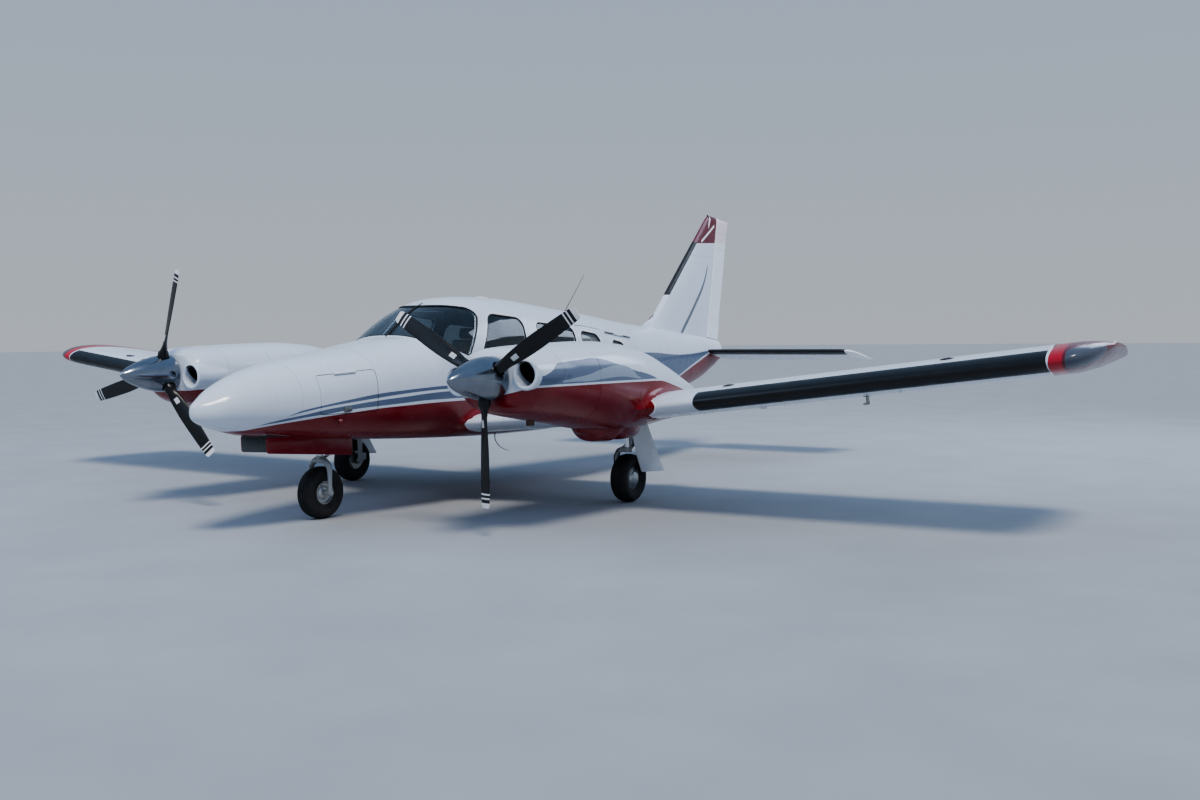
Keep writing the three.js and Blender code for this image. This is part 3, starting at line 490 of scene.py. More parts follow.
def enamel(name, pattern, rivets=(), seams=(), rib_mm=300):
    """pattern(material, x, y, z) gives the colour. rivets and seams are (which coordinate, places)."""
    material, place = new_material(name)
    x, y, z = x_y_z(material, place)
    axes = {"x": x, "y": y, "z": z}
    colour = pattern(material, x, y, z)
    dust = grain(material, place, 420, 0.0, 0.07, 6)
    colour = over(material, dust, colour, "A6A6A2")
    dips = grain(material, place, rib_mm, 0.0, 1.0, 1)
    peel = grain(material, place, 5, 0.0, 1.0, 2)
    normal = bumps(material, dips, 2.0, 0.35)
    normal = bumps(material, peel, 0.1, 0.25, Normal=normal)
    for across, along, rows in rivets:
        dots = rivet_rows(material, axes[across], axes[along], rows)
        normal = bumps(material, dots, 0.6, 0.5, Normal=normal)
        shade = node(material, "Math", {0: dots, 1: 0.22}, operation="MULTIPLY")
        colour = over(material, shade, colour, "5A5F66")
    for across, rows in seams:
        lines = seam_lines(material, axes[across], rows)
        shade = node(material, "Math", {0: lines, 1: 0.55}, operation="MULTIPLY")
        colour = over(material, shade, colour, "3A3F47")
        normal = bumps(material, lines, -1.5, 0.5, Normal=normal)
    rough = grain(material, place, 160, 0.18, 0.30, 4)
    return surface(material, Base_Color=colour, Roughness=rough, IOR=1.5, Specular_IOR_Level=0.4,
                   Coat_Weight=0.15, Coat_Roughness=0.04, Normal=normal)


print("enamel colours", WHITE, RED, GREY, MAROON)


# %% [markdown]
# ## The hull's livery
# The upper hull is white and the belly deep red, parted by a thin white line from a silver-grey stripe
# and a second, finer stripe above it. All of them start as points near the nose and run aft. On the tail
# the red rises as a wedge, and the grey widens to a broad band.

# %% The hull's livery
RED_TOP = [[-4034, 791], [-3906, 811], [-3740, 834], [-3562, 853], [-3369, 873], [-3150, 890], [-2869, 912],
           [-2634, 921], [-2384, 929], [-2160, 933], [0, 935], [2050, 935], [2250, 948], [2431, 979],
           [2812, 1074], [3231, 1173], [3455, 1223], [3640, 1256], [4085, 1260]]
GREY_LOW = [[-3975, 819], [-3862, 834], [-3748, 848], [-3569, 873], [-3377, 891], [-3150, 916], [-2871, 932],
            [-2636, 943], [-2386, 955], [-2162, 957], [0, 959], [2050, 959], [2250, 972], [2431, 1003],
            [2812, 1098], [3231, 1197], [3455, 1247], [3640, 1280], [4085, 1284]]
GREY_TOP = [[-3975, 819], [-3867, 843], [-3756, 867], [-3577, 894], [-3383, 928], [-3150, 953], [-2875, 979],
            [-2637, 994], [-2386, 1012], [-2162, 1021], [-900, 1034], [400, 1048], [760, 1100], [900, 1210],
            [1000, 1276], [1200, 1298], [1407, 1298], [2605, 1255], [3452, 1283], [3640, 1300], [4085, 1300]]
FINE_LOW = [[-3793, 883], [-3581, 917], [-3385, 948], [-3150, 974], [-2874, 1000], [-2636, 1020],
            [-2385, 1035], [-2164, 1042], [-900, 1060], [500, 1085]]
FINE_TOP = [[-3793, 883], [-3586, 932], [-3385, 966], [-3150, 1000], [-2875, 1034], [-2637, 1050],
            [-2386, 1063], [-2162, 1071], [-900, 1082], [500, 1085]]


def hull_livery(material, x, y, z):
    grey = band(material, z, line_over(material, y, GREY_LOW), line_over(material, y, GREY_TOP))
    fine = band(material, z, line_over(material, y, FINE_LOW), line_over(material, y, FINE_TOP))
    red = beyond(material, line_over(material, y, RED_TOP), z)
    colour = over(material, grey, WHITE, GREY)
    colour = over(material, fine, colour, GREY)
    return over(material, red, colour, RED)


hull_paint = enamel(
    "polyurethane enamel, hull", hull_livery,
    rivets=[("y", "z", [-3560, -2900, -2290, -1830, -860, -130, 455, 1135, 1165, 1900, 2700, 3400])],
    seams=[("y", [-2900, 1900, 2700])])
print("hull livery lines", len(RED_TOP), len(GREY_TOP), len(FINE_TOP))


# %% [markdown]
# ## Smooth sections
# The hull, the nacelles and the wings are all drawn as a few measured sections. Between two sections a
# curve that never overshoots gives the in-between ones. Around the hull a section is a squared oval, set
# out by equal angles so that the quads stay even, and the stations close up towards the nose as the
# square root of the distance, because that is how a round nose grows.

# %% Smooth sections
# Hull: station y, half width, top z, bottom z, height of the widest line, squareness above and below it
HULL = [
    [-4345, 42, 1000, 892, 944, 2.0, 2.0],
    [-4270, 116, 1052, 846, 948, 2.0, 2.0],
    [-4130, 208, 1132, 800, 973, 2.05, 2.0],
    [-3900, 286, 1228, 744, 991, 2.05, 2.1],
    [-3600, 364, 1302, 712, 1010, 2.1, 2.3],
    [-3250, 436, 1354, 676, 1029, 2.25, 2.6],
    [-2850, 506, 1409, 644, 1045, 2.5, 2.8],
    [-2500, 556, 1461, 618, 1055, 2.7, 3.0],
    [-2260, 584, 1497, 602, 1060, 2.8, 3.0],
    [-2080, 600, 1628, 592, 1068, 2.8, 3.0],
    [-1900, 612, 1738, 582, 1078, 2.7, 3.0],
    [-1720, 622, 1810, 573, 1088, 2.7, 3.0],
    [-1560, 628, 1846, 566, 1096, 2.7, 3.0],
    [-1300, 633, 1862, 556, 1108, 2.8, 3.0],
    [-900, 635, 1856, 547, 1118, 2.8, 3.0],
    [-400, 633, 1814, 542, 1120, 2.8, 3.0],
    [100, 625, 1766, 545, 1116, 2.8, 3.0],
    [500, 602, 1733, 560, 1112, 2.7, 2.9],
    [850, 566, 1699, 586, 1110, 2.6, 2.8],
    [1150, 526, 1665, 618, 1112, 2.6, 2.7],
    [1600, 455, 1626, 668, 1120, 2.5, 2.6],
    [2200, 358, 1580, 742, 1140, 2.4, 2.5],
    [2800, 262, 1532, 820, 1162, 2.3, 2.4],
    [3350, 176, 1484, 912, 1185, 2.2, 2.3],
    [3750, 118, 1442, 1042, 1222, 2.1, 2.2],
    [4030, 76, 1412, 1150, 1268, 2.0, 2.1],
]
NOSE_TIP = (-4360, 948)
TAIL_END = 4085
CONE_END, NOSE_END, CABIN_END = -3600, -2260, 1150
WALL = 30


def between(table, at):
    """The values at a place between a table's rows, on a smooth curve that never overshoots."""
    last = len(table) - 2
    k = min(max(bisect.bisect_right(table, at, key=lambda row: row[0]) - 1, 0), last)
    span = table[k + 1][0] - table[k][0]
    t = (at - table[k][0]) / span
    found = []
    for c in range(1, len(table[0])):
        rise = [(table[i + 1][c] - table[i][c]) / (table[i + 1][0] - table[i][0])
                for i in (max(k - 1, 0), k, min(k + 1, last))]
        start = 2 * rise[0] * rise[1] / (rise[0] + rise[1]) if rise[0] * rise[1] > 0 else 0.0
        end = 2 * rise[1] * rise[2] / (rise[1] + rise[2]) if rise[1] * rise[2] > 0 else 0.0
        a, b = table[k][c], table[k + 1][c]
        found.append(a + (b - a) * t * t * (3 - 2 * t) + span * t * (1 - t) * ((1 - t) * start - t * end))
    return found


def straight(table, at):
    """The values at a place between a table's rows, on straight lines."""
    k = min(max(bisect.bisect_right(table, at, key=lambda row: row[0]) - 1, 0), len(table) - 2)
    t = (at - table[k][0]) / (table[k + 1][0] - table[k][0])
    return [a + (b - a) * t for a, b in zip(table[k][1:], table[k + 1][1:])]


def share_of(low, high, value):
    """0 below low, 1 above high, and smooth between."""
    t = min(max((value - low) / (high - low), 0.0), 1.0)
    return t * t * (3 - 2 * t)


def oval(centre_x, y, ring, around, grow=0.0):
    """A point of a squared oval in mm. ring holds half width, top, bottom, widest height, squareness."""
    half, top, bottom, belt, above, below = ring
    angle = math.tau * around - math.pi / 2
    c, s = math.cos(angle), math.sin(angle)
    power = above if s >= 0 else below
    height = (top - belt if s >= 0 else belt - bottom) + grow
    reach = (abs(c / (half + grow)) ** power + abs(s / height) ** power) ** (-1 / power)
    return Vector((centre_x + reach * c, y, belt + reach * s))


NOSE_ROWS = [[0, 0.5, NOSE_TIP[1] + 0.5, NOSE_TIP[1] - 0.5, NOSE_TIP[1], 2, 2]]
NOSE_ROWS += [[math.sqrt(row[0] - NOSE_TIP[0]), *row[1:]] for row in HULL if row[0] <= NOSE_END]
CABIN_ROWS = [row for row in HULL if row[0] >= NOSE_END]


def hull_ring(y, cabin_side=False):
    if y < NOSE_END or (y == NOSE_END and not cabin_side):
        return between(NOSE_ROWS, math.sqrt(max(y - NOSE_TIP[0], 0)))
    ring = between(CABIN_ROWS, min(y, HULL[-1][0]))
    if y > HULL[-1][0]:
        close = math.sqrt(max(1 - ((y - HULL[-1][0]) / (TAIL_END - HULL[-1][0])) ** 2, 0.0001))
        middle = (ring[1] + ring[2]) / 2
        ring = [ring[0] * close, middle + (ring[1] - middle) * close, middle + (ring[2] - middle) * close,
                middle + (ring[3] - middle) * close, ring[4], ring[5]]
    return ring


def hull_half_width(y, z):
    """Half the hull's width at a station and height, in mm."""
    half, top, bottom, belt, above, below = hull_ring(y, True)
    reach, power = (top - belt, above) if z > belt else (belt - bottom, below)
    return half * max(1 - abs((z - belt) / reach) ** power, 0.0) ** (1 / power)


print("half width at the door", round(hull_half_width(-1300, 1300)), "mm")


# %% [markdown]
# ## The wing's sections
# The wing is set out flat, in a frame that is then tilted by the dihedral. Its section is a classic
# cambered aerofoil, so one formula gives the thickness behind the leading edge. The same formula tells
# how high the wing's skin lies at any place, which the fillets of the hull and the nacelles need.

# %% The wing's sections
DIHEDRAL = math.radians(7.1)
ROOT_Z = 607
INCIDENCE = math.radians(1.5)
CAMBER = 0.015
HALF_SPAN = 5810
TIP_JOINT = 5560
# The plain middle of the wing: leading edge y, chord, thickness over chord
PLAIN = PLAIN_NOSE, PLAIN_CHORD, PLAIN_SHARE = -1655, 1600, 0.135
# Wing: span station, leading edge y, chord, thickness over chord, raise of the nose, lift of the section
WING = [
    [300, -1965, 1910, 0.105, 58, 0],
    [640, -1885, 1830, 0.108, 50, 0],
    [1450, *PLAIN, 12, 0],
    [2100, *PLAIN, 0, 0],
    [TIP_JOINT, *PLAIN, 0, 0],
    [5650, -1636, 1560, 0.130, 0, 6],
    [5740, -1560, 1400, 0.115, 0, 20],
    [5805, -1420, 1010, 0.100, 0, 40],
    [HALF_SPAN / math.cos(DIHEDRAL), -1180, 430, 0.070, 0, 66],
]
PANEL = Matrix.Translation((0, 0, ROOT_Z * MM)) @ Matrix.Rotation(-DIHEDRAL, 4, "Y")


def thickness(x, share):
    """Half the thickness of a section over its chord, x behind the leading edge."""
    x = min(max(x, 0.0), 1.0)
    rounded = 0.2969 * math.sqrt(x)
    half = 5 * share * (rounded - 0.126 * x - 0.3516 * x ** 2 + 0.2843 * x ** 3 - 0.1036 * x ** 4)
    return half + 0.0016 * min(x * 4, 1.0) * min((1 - x) * 60, 1.0)


def camber_line(x, camber):
    return camber / 0.16 * (0.8 * x - x * x) if x < 0.4 else camber / 0.36 * (0.2 + 0.8 * x - x * x)


def wing_row(span):
    """Leading edge, chord, thickness share, raise and lift: straight lines inboard, a curve at the tip."""
    return between(WING, span) if span >= TIP_JOINT else straight(WING, span)


def way_round(around):
    """The share of the chord and the side: from the trailing edge over the top to the nose, and back."""
    return 0.5 * (1 + math.cos(math.tau * around)), 1 if around < 0.5 else -1


def skin_height(row, x, side, extra=0.0):
    """The height of the upper (1) or lower (-1) skin in the flat frame, x behind the nose over the chord."""
    chord, share, lift_nose, lift = row[1:]
    height = (camber_line(x, CAMBER) + side * (thickness(x, share) + extra)) * chord
    return -x * chord * math.sin(INCIDENCE) + height + (1 - x) * lift_nose + lift


def wing_point(span, around, first=0.0, extra=0.0):
    """A point of the wing in its flat frame, in mm: the trailing edge at 0 and 1, the nose at a half."""
    row = wing_row(span)
    x, side = way_round(around)
    x = first + (1 - first) * x
    return Vector((span, row[0] + x * row[1] * math.cos(INCIDENCE), skin_height(row, x, side, extra)))


def wing_skin_z(x_mm, y_mm, side):
    """The height of the wing's upper (1) or lower (-1) skin over a place on the ground, in mm."""
    span = x_mm / math.cos(DIHEDRAL) + 8 * side
    row = wing_row(max(span, WING[0][0]))
    x = min(max((y_mm - row[0]) / row[1], 0.0), 1.0)
    return span * math.sin(DIHEDRAL) + skin_height(row, x, side) * math.cos(DIHEDRAL) + ROOT_Z


print("wing skins over the wheel", [round(wing_skin_z(1690, -960, side)) for side in (1, -1)])


# %% [markdown]
# ## Fillets
# Where a hull meets a wing, the real skin turns from one into the other in a soft curve. The same effect
# comes from pushing the hull's own points outwards near the wing: at a height d above the wing's skin, a
# fillet of radius R stands out by R minus the root of R squared less (R - d) squared. It fades in ahead
# of the leading edge and out at the trailing edge.

# %% Fillets
HULL_FILLET = 75
WING_END = -55


def fillet(point, outward, radius, fore, aft):
    """Moves a hull point (mm) outwards where it is close above or below the wing."""
    leading = wing_row(max(abs(point.x), WING[0][0]))[0]
    present = share_of(leading - fore, leading + 0.5 * fore, point.y)
    present *= 1 - share_of(WING_END - aft, WING_END + 15, point.y)
    if present <= 0:
        return point
    over_skin = point.z - wing_skin_z(abs(point.x), point.y, 1)
    under_skin = wing_skin_z(abs(point.x), point.y, -1) - point.z
    gap = max(over_skin, under_skin, 0.0)
    if gap >= radius:
        return point
    out = radius - math.sqrt(radius ** 2 - (radius - gap) ** 2)
    point.x += outward * out * present
    return point


def hull_point(y, around, grow=0.0, cabin_side=False):
    """A point of the hull's skin, in mm."""
    point = oval(0, y, hull_ring(y, cabin_side), around, grow)
    if -2150 < y < WING_END + 15 and point.z < 1000:
        point = fillet(point, math.copysign(1, point.x) if abs(point.x) > 250 else 0,
                       HULL_FILLET + grow, 180, 260)
    return point


print("hull fillet radius", HULL_FILLET, "mm")


# %% [markdown]
# ## Finishes inside the cabin and round the glass
# The panes are stretched acrylic, grey tinted and about 8 mm thick, so the dark cabin shows through them
# only dimly and the sky shows on them. They let the studio's light pass, as clear acrylic does. The
# lining of the cabin is a pale woven headliner cloth over foam, and the seals are black rubber.

# %% Finishes inside the cabin and round the glass
def tinted_acrylic():
    material, place = new_material("stretched acrylic, grey tint")
    rough = grain(material, place, 60, 0.015, 0.05)
    ripple = bumps(material, grain(material, place, 350, 0, 1, 1), 1.0, 0.15)
    tint = over(material, grain(material, place, 500, 0, 1), "8E9AA2", "A3AEB5")
    return surface(material, Base_Color=tint, Roughness=rough, IOR=1.49, Transmission_Weight=1.0,
                   Specular_IOR_Level=0.7, Normal=ripple)


def rubber(name, code, rough=0.7):
    material, place = new_material(name)
    colour = over(material, grain(material, place, 30, 0, 0.35), code, "3B3B3D")
    pores = bumps(material, grain(material, place, 2, 0, 1), 0.15, 0.4)
    return surface(material, Base_Color=colour, Roughness=rough, IOR=1.52, Normal=pores)


def woven_lining(name, code, shade, thread_mm=3.0):
    """Threads of 3 mm, coarser than the real 0.5 mm, so that the weave shows at all."""
    material, place = new_material(name)
    threads = 1 / (thread_mm * MM)
    waves = [node(material, "TexWave", {"Vector": place, "Scale": threads / 6.3, "Distortion": 0.6},
                  bands_direction=way) for way in ("Y", "Z")]
    weave = node(material, "Math", {0: waves[0], 1: waves[1]}, operation="MULTIPLY")
    colour = over(material, weave, shade, code)
    worn = over(material, grain(material, place, 120, 0, 0.25), colour, shade)
    return surface(material, Base_Color=worn, Roughness=0.9, IOR=1.45, Sheen_Weight=0.3,
                   Normal=bumps(material, weave, 0.4, 0.5))


acrylic = tinted_acrylic()
seal_rubber = rubber("black rubber seal", "141517")
headliner = woven_lining("woven headliner, pale grey", "C9C5BC", "A39E93")
print("glass, seal and lining ready")


# %% [markdown]
# ## The hull's skins
# Four shells make the hull: the plastic nose cone, the nose with its baggage bay, the cabin, and the tail
# cone. Each is a rolled sheet. The first three are given their wall by a Solidify modifier that grows
# inwards, so the outer skin stays where it was measured, and their inner faces take the lining. A gap of
# 2 mm stays at each joint, which draws the fine dark line that shows where two skins meet.

# %% The hull's skins
JOINT = 2
AROUND = 112


def walled(piece, thick_mm, even=True):
    """Grows a wall inwards, with the piece's second material on its inner faces."""
    wall = piece.modifiers.new("wall", "SOLIDIFY")
    wall.thickness, wall.offset, wall.use_even_offset, wall.material_offset = thick_mm * MM, -1, even, 1
    return bake(piece)


def hull_shell(name, y0, y1, rows, wall=WALL, grow=0.0, outer=None, inner=None, cabin_side=False, even=True):
    """A walled part of the hull between two stations. Uneven rows close up towards the nose."""
    def place(along, around):
        if even:
            y = y0 + (y1 - y0) * along
        else:
            y = NOSE_TIP[0] + (math.sqrt(y1 - NOSE_TIP[0]) * along) ** 2
        return hull_point(y, around, grow, cabin_side) * MM
    bm = rolled_sheet(rows, AROUND, place, caps=False)
    return walled(add_piece(name, bm, outer or hull_paint, inner or headliner), wall)


def tail_place(along, around):
    """The stations close up towards the rounded end of the tail."""
    y = CABIN_END + (TAIL_END - CABIN_END) * math.sin(along * math.pi / 2)
    return hull_point(y + JOINT / 2 * (1 - along), around) * MM


nose_cone = hull_shell("nose_cone_skin", NOSE_TIP[0], CONE_END - JOINT / 2, 44, even=False)
nose_skin = hull_shell("nose_section_skin", CONE_END + JOINT / 2, NOSE_END, 44)
cabin_skin = hull_shell("cabin_skin", NOSE_END, CABIN_END - JOINT / 2, 100, cabin_side=True)
tail_skin = add_piece("tail_cone_skin", rolled_sheet(72, AROUND, tail_place, caps=False), hull_paint)
print("hull skins", len(cabin_skin.data.polygons), "faces on the cabin")


# %% [markdown]
# ## The openings
# The windows and doors are outlines in the side view. Doors sit in their openings with 5 mm of play. Each
# door leaf is a patch of the same hull skin, so it lies flush, and its window goes through it.

# %% The openings
SIDE_WINDOWS = {
    "first": [[-1700, 1300], [-1012, 1312], [-978, 1662], [-1440, 1704]],
    "second": [[-815, 1296], [-165, 1296], [-140, 1580], [-790, 1628]],
    "third": [[-48, 1280], [342, 1280], [318, 1504], [-38, 1547]],
    "fourth": [[575, 1240], [885, 1240], [868, 1411], [582, 1453]],
}
WINDSHIELD = [[-2245, 1468], [-1836, 1318], [-1572, 1690], [-1612, 1752], [-1790, 1777], [-2245, 1740]]
WINDOW_ROUND = 78
FRONT_DOOR = [[-1765, 945], [-905, 945], [-905, 1660], [-985, 1740], [-1478, 1750], [-1765, 1305]]
REAR_DOOR = [[-98, 830], [425, 830], [425, 1555], [50, 1596], [-98, 1596]]
CARGO_DOOR = [[470, 850], [1080, 850], [1080, 1468], [470, 1530]]
NOSE_DOOR = [[-3436, 885], [-2900, 885], [-2900, 1235], [-3450, 1195]]
DOOR_GAP = 5
PORT, STARBOARD = (0, 900), (-900, 0)


def cut_openings(piece, openings):
    tool = prism_piece("openings", [(outline, *side, rounded) for outline, side, rounded in openings])
    return carve(piece, tool)


def window(which, side, by=0.0):
    return grown(SIDE_WINDOWS[which], by), side, WINDOW_ROUND + by


def windshield_outline(by=0.0):
    return grown(WINDSHIELD, by), (-900, 900), 45


cabin_openings = [(FRONT_DOOR, STARBOARD, 34), (REAR_DOOR, PORT, 34), (CARGO_DOOR, PORT, 34),
                  windshield_outline()]
cabin_openings += [window("first", PORT), window("second", PORT), window("second", STARBOARD),
                   window("third", STARBOARD), window("fourth", STARBOARD)]
cut_openings(cabin_skin, cabin_openings)
finish_piece(cabin_skin, "airframe", "white_paint", "cabin_shell")


def door_leaf(name, outline, side, y0, y1, which):
    """A leaf of the cabin's skin between two stations, with its window."""
    leaf = hull_shell(name, y0, y1, max(int((y1 - y0) / 16), 8), cabin_side=True)
    carve(leaf, prism_piece("leaf_tool", [(grown(outline, -DOOR_GAP), *side, 28)]), "INTERSECT")
    return cut_openings(leaf, [window(which, side)])


front_leaf = door_leaf("front_door_leaf", FRONT_DOOR, STARBOARD, -1800, -870, "first")
rear_leaf = door_leaf("rear_door_leaf", REAR_DOOR, PORT, -140, 460, "third")
cargo_leaf = door_leaf("cargo_door_leaf", CARGO_DOOR, PORT, 430, 1110, "fourth")
print("openings cut;", len(cabin_skin.data.polygons), "faces on the cabin")


# %% [markdown]
# ## The wings
# Each wing is a rolled sheet in its flat frame. The bays of the flap and the aileron are cut with a
# rounded front, so the round nose of each surface turns inside its bay. The surfaces themselves are sheets
# that start as half a circle round the hinge and go on as the wing's own skin.

# %% The wings
RUN_GAP = 6
FLAP = (745, 3020, -388, -19.40)
AILERON = (3080, 5440, -365, -20.77)
NACELLE_X = 1830
WHEEL_WELL = (1080, -960)


def wing_pattern(material, x, y, z):
    out = node(material, "Math", {0: x}, operation="ABSOLUTE")
    limit = node(material, "MapRange", {0: y, 1: -1.66, 2: -0.80, 3: 2.375, 4: 1.34})
    line_limit = node(material, "Math", {0: limit, 1: 0.018}, operation="ADD")
    outboard = beyond(material, out, 1.35)
    colour = over(material, both(material, beyond(material, line_limit, out), outboard), WHITE, "F4F6F8")
    colour = over(material, both(material, beyond(material, limit, out), outboard), colour, RED)
    aft = node(material, "Math", {0: y, 1: 0.16}, operation="MULTIPLY")
    slant = node(material, "Math", {0: out, 1: aft}, operation="ADD")
    colour = over(material, beyond(material, slant, 5.20), colour, "F4F6F8")
    colour = over(material, beyond(material, slant, 5.22), colour, MAROON)
    colour = over(material, band(material, out, 5.46, 5.55), colour, "B0142A")
    # Painted shade: the front of the tip is dark blue-grey, as its pale paint looks in shade.
    front = node(material, "MapRange", {0: out, 1: 5.57, 2: 5.80, 3: -1.585, 4: -1.28})
    swoosh = both(material, beyond(material, front, y), beyond(material, out, 5.57))
    return over(material, swoosh, colour, "4A5363")


wing_paint = enamel(
    "polyurethane enamel, wing", wing_pattern,
    rivets=[("y", "x", [-1480, -1050, -470]),
            ("x", "y", [side * rib for side in (1, -1) for rib in (750, 2380, 3050, 4100, 5000, 5470)])],
    seams=[("y", [-1415])])


def hinge_radius(hinge_y):
    """Half the wing's depth at the hinge, less a little play."""
    return thickness((hinge_y - PLAIN_NOSE) / PLAIN_CHORD, PLAIN_SHARE) * PLAIN_CHORD * 0.985


def bay_outline(hinge_y, hinge_z, gap):
    """The bay in the side view: a box behind the hinge with a rounded front."""
    radius = hinge_radius(hinge_y) + gap
    start = math.acos(-gap / radius)
    arc = [start + (math.tau - 2 * start) * k / 16 for k in range(17)]
    front = [[hinge_y + radius * math.cos(a), hinge_z + radius * math.sin(a)] for a in arc]
    return [[hinge_y - gap, hinge_z + 200], *front, [hinge_y - gap, hinge_z - 200], [400, hinge_z - 200],
            [400, hinge_z + 200]]


def control_sheet(start, end, hinge_y, hinge_z):
    """A flap or an aileron: a round nose about its hinge, then the wing's own skin."""
    radius = hinge_radius(hinge_y)

    def place(along, around):
        span = start + (end - start) * along
        row = wing_row(span)
        back = row[0] + row[1] * math.cos(INCIDENCE)
        share, side = way_round(around)
        y = hinge_y - radius + (back - hinge_y + radius) * share
        if y < hinge_y:
            half = math.sqrt(max(radius ** 2 - (hinge_y - y) ** 2, 0))
            return Vector((span, y, hinge_z + side * half)) * MM
        x = (y - row[0]) / (row[1] * math.cos(INCIDENCE))
        return Vector((span, y, skin_height(row, min(x, 1.0), side))) * MM
    return rolled_sheet(40, 48, place)


def to_panel(piece):
    piece.data.transform(PANEL)
    return piece


PANEL_END = TIP_JOINT - 100


def wing_place(along, around):
    return wing_point(WING[0][0] + (PANEL_END - WING[0][0]) * along, around) * MM


def tip_place(along, around):
    """The stations close up towards the end of the tip."""
    start = PANEL_END + 2
    return wing_point(start + (WING[-1][0] - start) * math.sin(along * math.pi / 2), around) * MM


wing_piece = add_piece("wing", rolled_sheet(118, 96, wing_place), wing_paint)
carve(wing_piece, prism_piece("bays", [(bay_outline(hinge_y, hinge_z, RUN_GAP), start, end, 0)
                                       for start, end, hinge_y, hinge_z in (FLAP, AILERON)]))
carve_rod(wing_piece, (*WHEEL_WELL, -300), (*WHEEL_WELL, 5), 250, 48)
carve_box(wing_piece, (1400, -960, -145), (620, 150, 300), 20)
both_sides(to_panel(wing_piece), "airframe", "white_paint", "wing_SIDE")
tip_piece = add_piece("wingtip", rolled_sheet(36, 96, tip_place), wing_paint)
both_sides(to_panel(tip_piece), "airframe", "red_paint", "wingtip_SIDE")

for label, (start, end, hinge_y, hinge_z) in (("flap", FLAP), ("aileron", AILERON)):
    surface_piece = add_piece(label, control_sheet(start + RUN_GAP, end - RUN_GAP, hinge_y, hinge_z),
                              wing_paint)
    both_sides(to_panel(surface_piece), label + "_SIDE", "white_paint", label + "_SIDE")
print("wing faces", len(wing_piece.data.polygons))


# %% [markdown]
# ## The nacelles
# A nacelle's front is blunt: the skin starts at the shaft hole, spreads over the face and turns round to the
# sides. Each section is then pushed out to enclose the two round air inlets, so their cheeks fair into the
# sides. Aft, the same fillet rule as the hull's joins it to the wing. The tail ends above the flap, so the
# space that the flap needs is cut away.

# %% The nacelles
# Path along the skin, y, half width, top z, bottom z, height of the widest line, squareness
NACELLE = [
    [0, -3100, 62, 1238, 1118, 1180, 2.0],
    [150, -3112, 200, 1306, 1046, 1180, 2.1],
    [250, -3107, 290, 1346, 992, 1180, 2.3],
    [300, -3090, 332, 1370, 956, 1180, 2.4],
    [345, -3055, 364, 1392, 930, 1180, 2.5],
    [405, -3000, 384, 1406, 905, 1180, 2.6],
    [705, -2700, 420, 1426, 848, 1170, 2.6],
    [1105, -2300, 438, 1438, 786, 1150, 2.6],
    [1455, -1950, 444, 1446, 726, 1120, 2.6],
    [1805, -1600, 432, 1428, 692, 1095, 2.5],
    [2155, -1250, 394, 1370, 690, 1060, 2.3],
    [2505, -900, 322, 1274, 715, 1015, 2.2],
    [2805, -600, 244, 1184, 772, 975, 2.1],
    [3105, -300, 158, 1088, 832, 945, 2.0],
    [3325, -80, 84, 1004, 880, 930, 2.0],
    [3405, 0, 14, 952, 924, 938, 2.0],
]
INLETS = ((-312, 1158), (312, 1212))
INLET_OUTER, INLET_INNER, INLET_FRONT = 113, 84, -3134
COWL_PATH = 1105
NACELLE_FILLET = 82


def nacelle_point(path, around, grow=0.0):
    """A point of the nacelle's skin. Near the front its sections bulge out round both inlets."""
    y, half, top, bottom, belt, square = between(NACELLE, path)
    point = oval(NACELLE_X, y, (half, top, bottom, belt, square, square), around, grow)
    cheek = share_of(190, 290, path) * (1 - share_of(1000, 1300, path))
    if cheek > 0:
        offset = Vector((point.x - NACELLE_X, point.z - belt))
        way = offset.normalized()
        radius = (INLET_OUTER + grow) * math.sqrt(max(1 - (max(-3078 - y, 0) / 40) ** 2, 0.05))
        for dx, inlet_z in INLETS:
            centre = Vector((dx, inlet_z - belt))
            reach = centre.dot(way)
            inside = radius ** 2 - centre.length_squared + reach ** 2
            if reach > 0 and inside > 0:
                far = reach + math.sqrt(inside)
                blended = math.log(math.exp(offset.length / 12) + math.exp(far / 12)) * 12
                blended -= 12 * math.log(2) * math.exp(-abs(offset.length - far) / 12)
                blended = max(blended, offset.length)
                offset = way * (offset.length + cheek * (blended - offset.length))
        point = Vector((NACELLE_X + offset.x, y, belt + offset.y))
    if path > COWL_PATH:
        point = fillet(point, math.copysign(1, point.x - NACELLE_X), NACELLE_FILLET + grow, 160, 330)
    return point * MM


def nacelle_sheet(start, end, rows, grow=0.0, caps=True):
    return rolled_sheet(
        rows, 112, lambda along, around: nacelle_point(start + (end - start) * along, around, grow), caps)


NACELLE_RED = [[-3120, 1100], [-3064, 1113], [-2700, 1116], [-2200, 1116], [-1736, 1113], [-1322, 1107],
               [-1000, 1060], [-700, 1010], [-300, 955], [0, 940]]
SWOOSH_TOP = [[-3070, 1201], [-2993, 1217], [-2904, 1253], [-2846, 1286], [-2701, 1299], [-2494, 1311],
              [-2384, 1319], [-2213, 1305], [-2103, 1279], [-1924, 1241], [-1750, 1201], [-1623, 1183],
              [-1406, 1137], [-1339, 1120]]
ARC_TOP = [[-2788, 1160], [-2656, 1172], [-2444, 1198], [-2313, 1224], [-2118, 1252], [-2010, 1256],
           [-1850, 1226], [-1661, 1146]]
ARC_LOW = [[-2873, 1138], [-2708, 1145], [-2491, 1143], [-2261, 1155], [-2011, 1164], [-1661, 1138]]


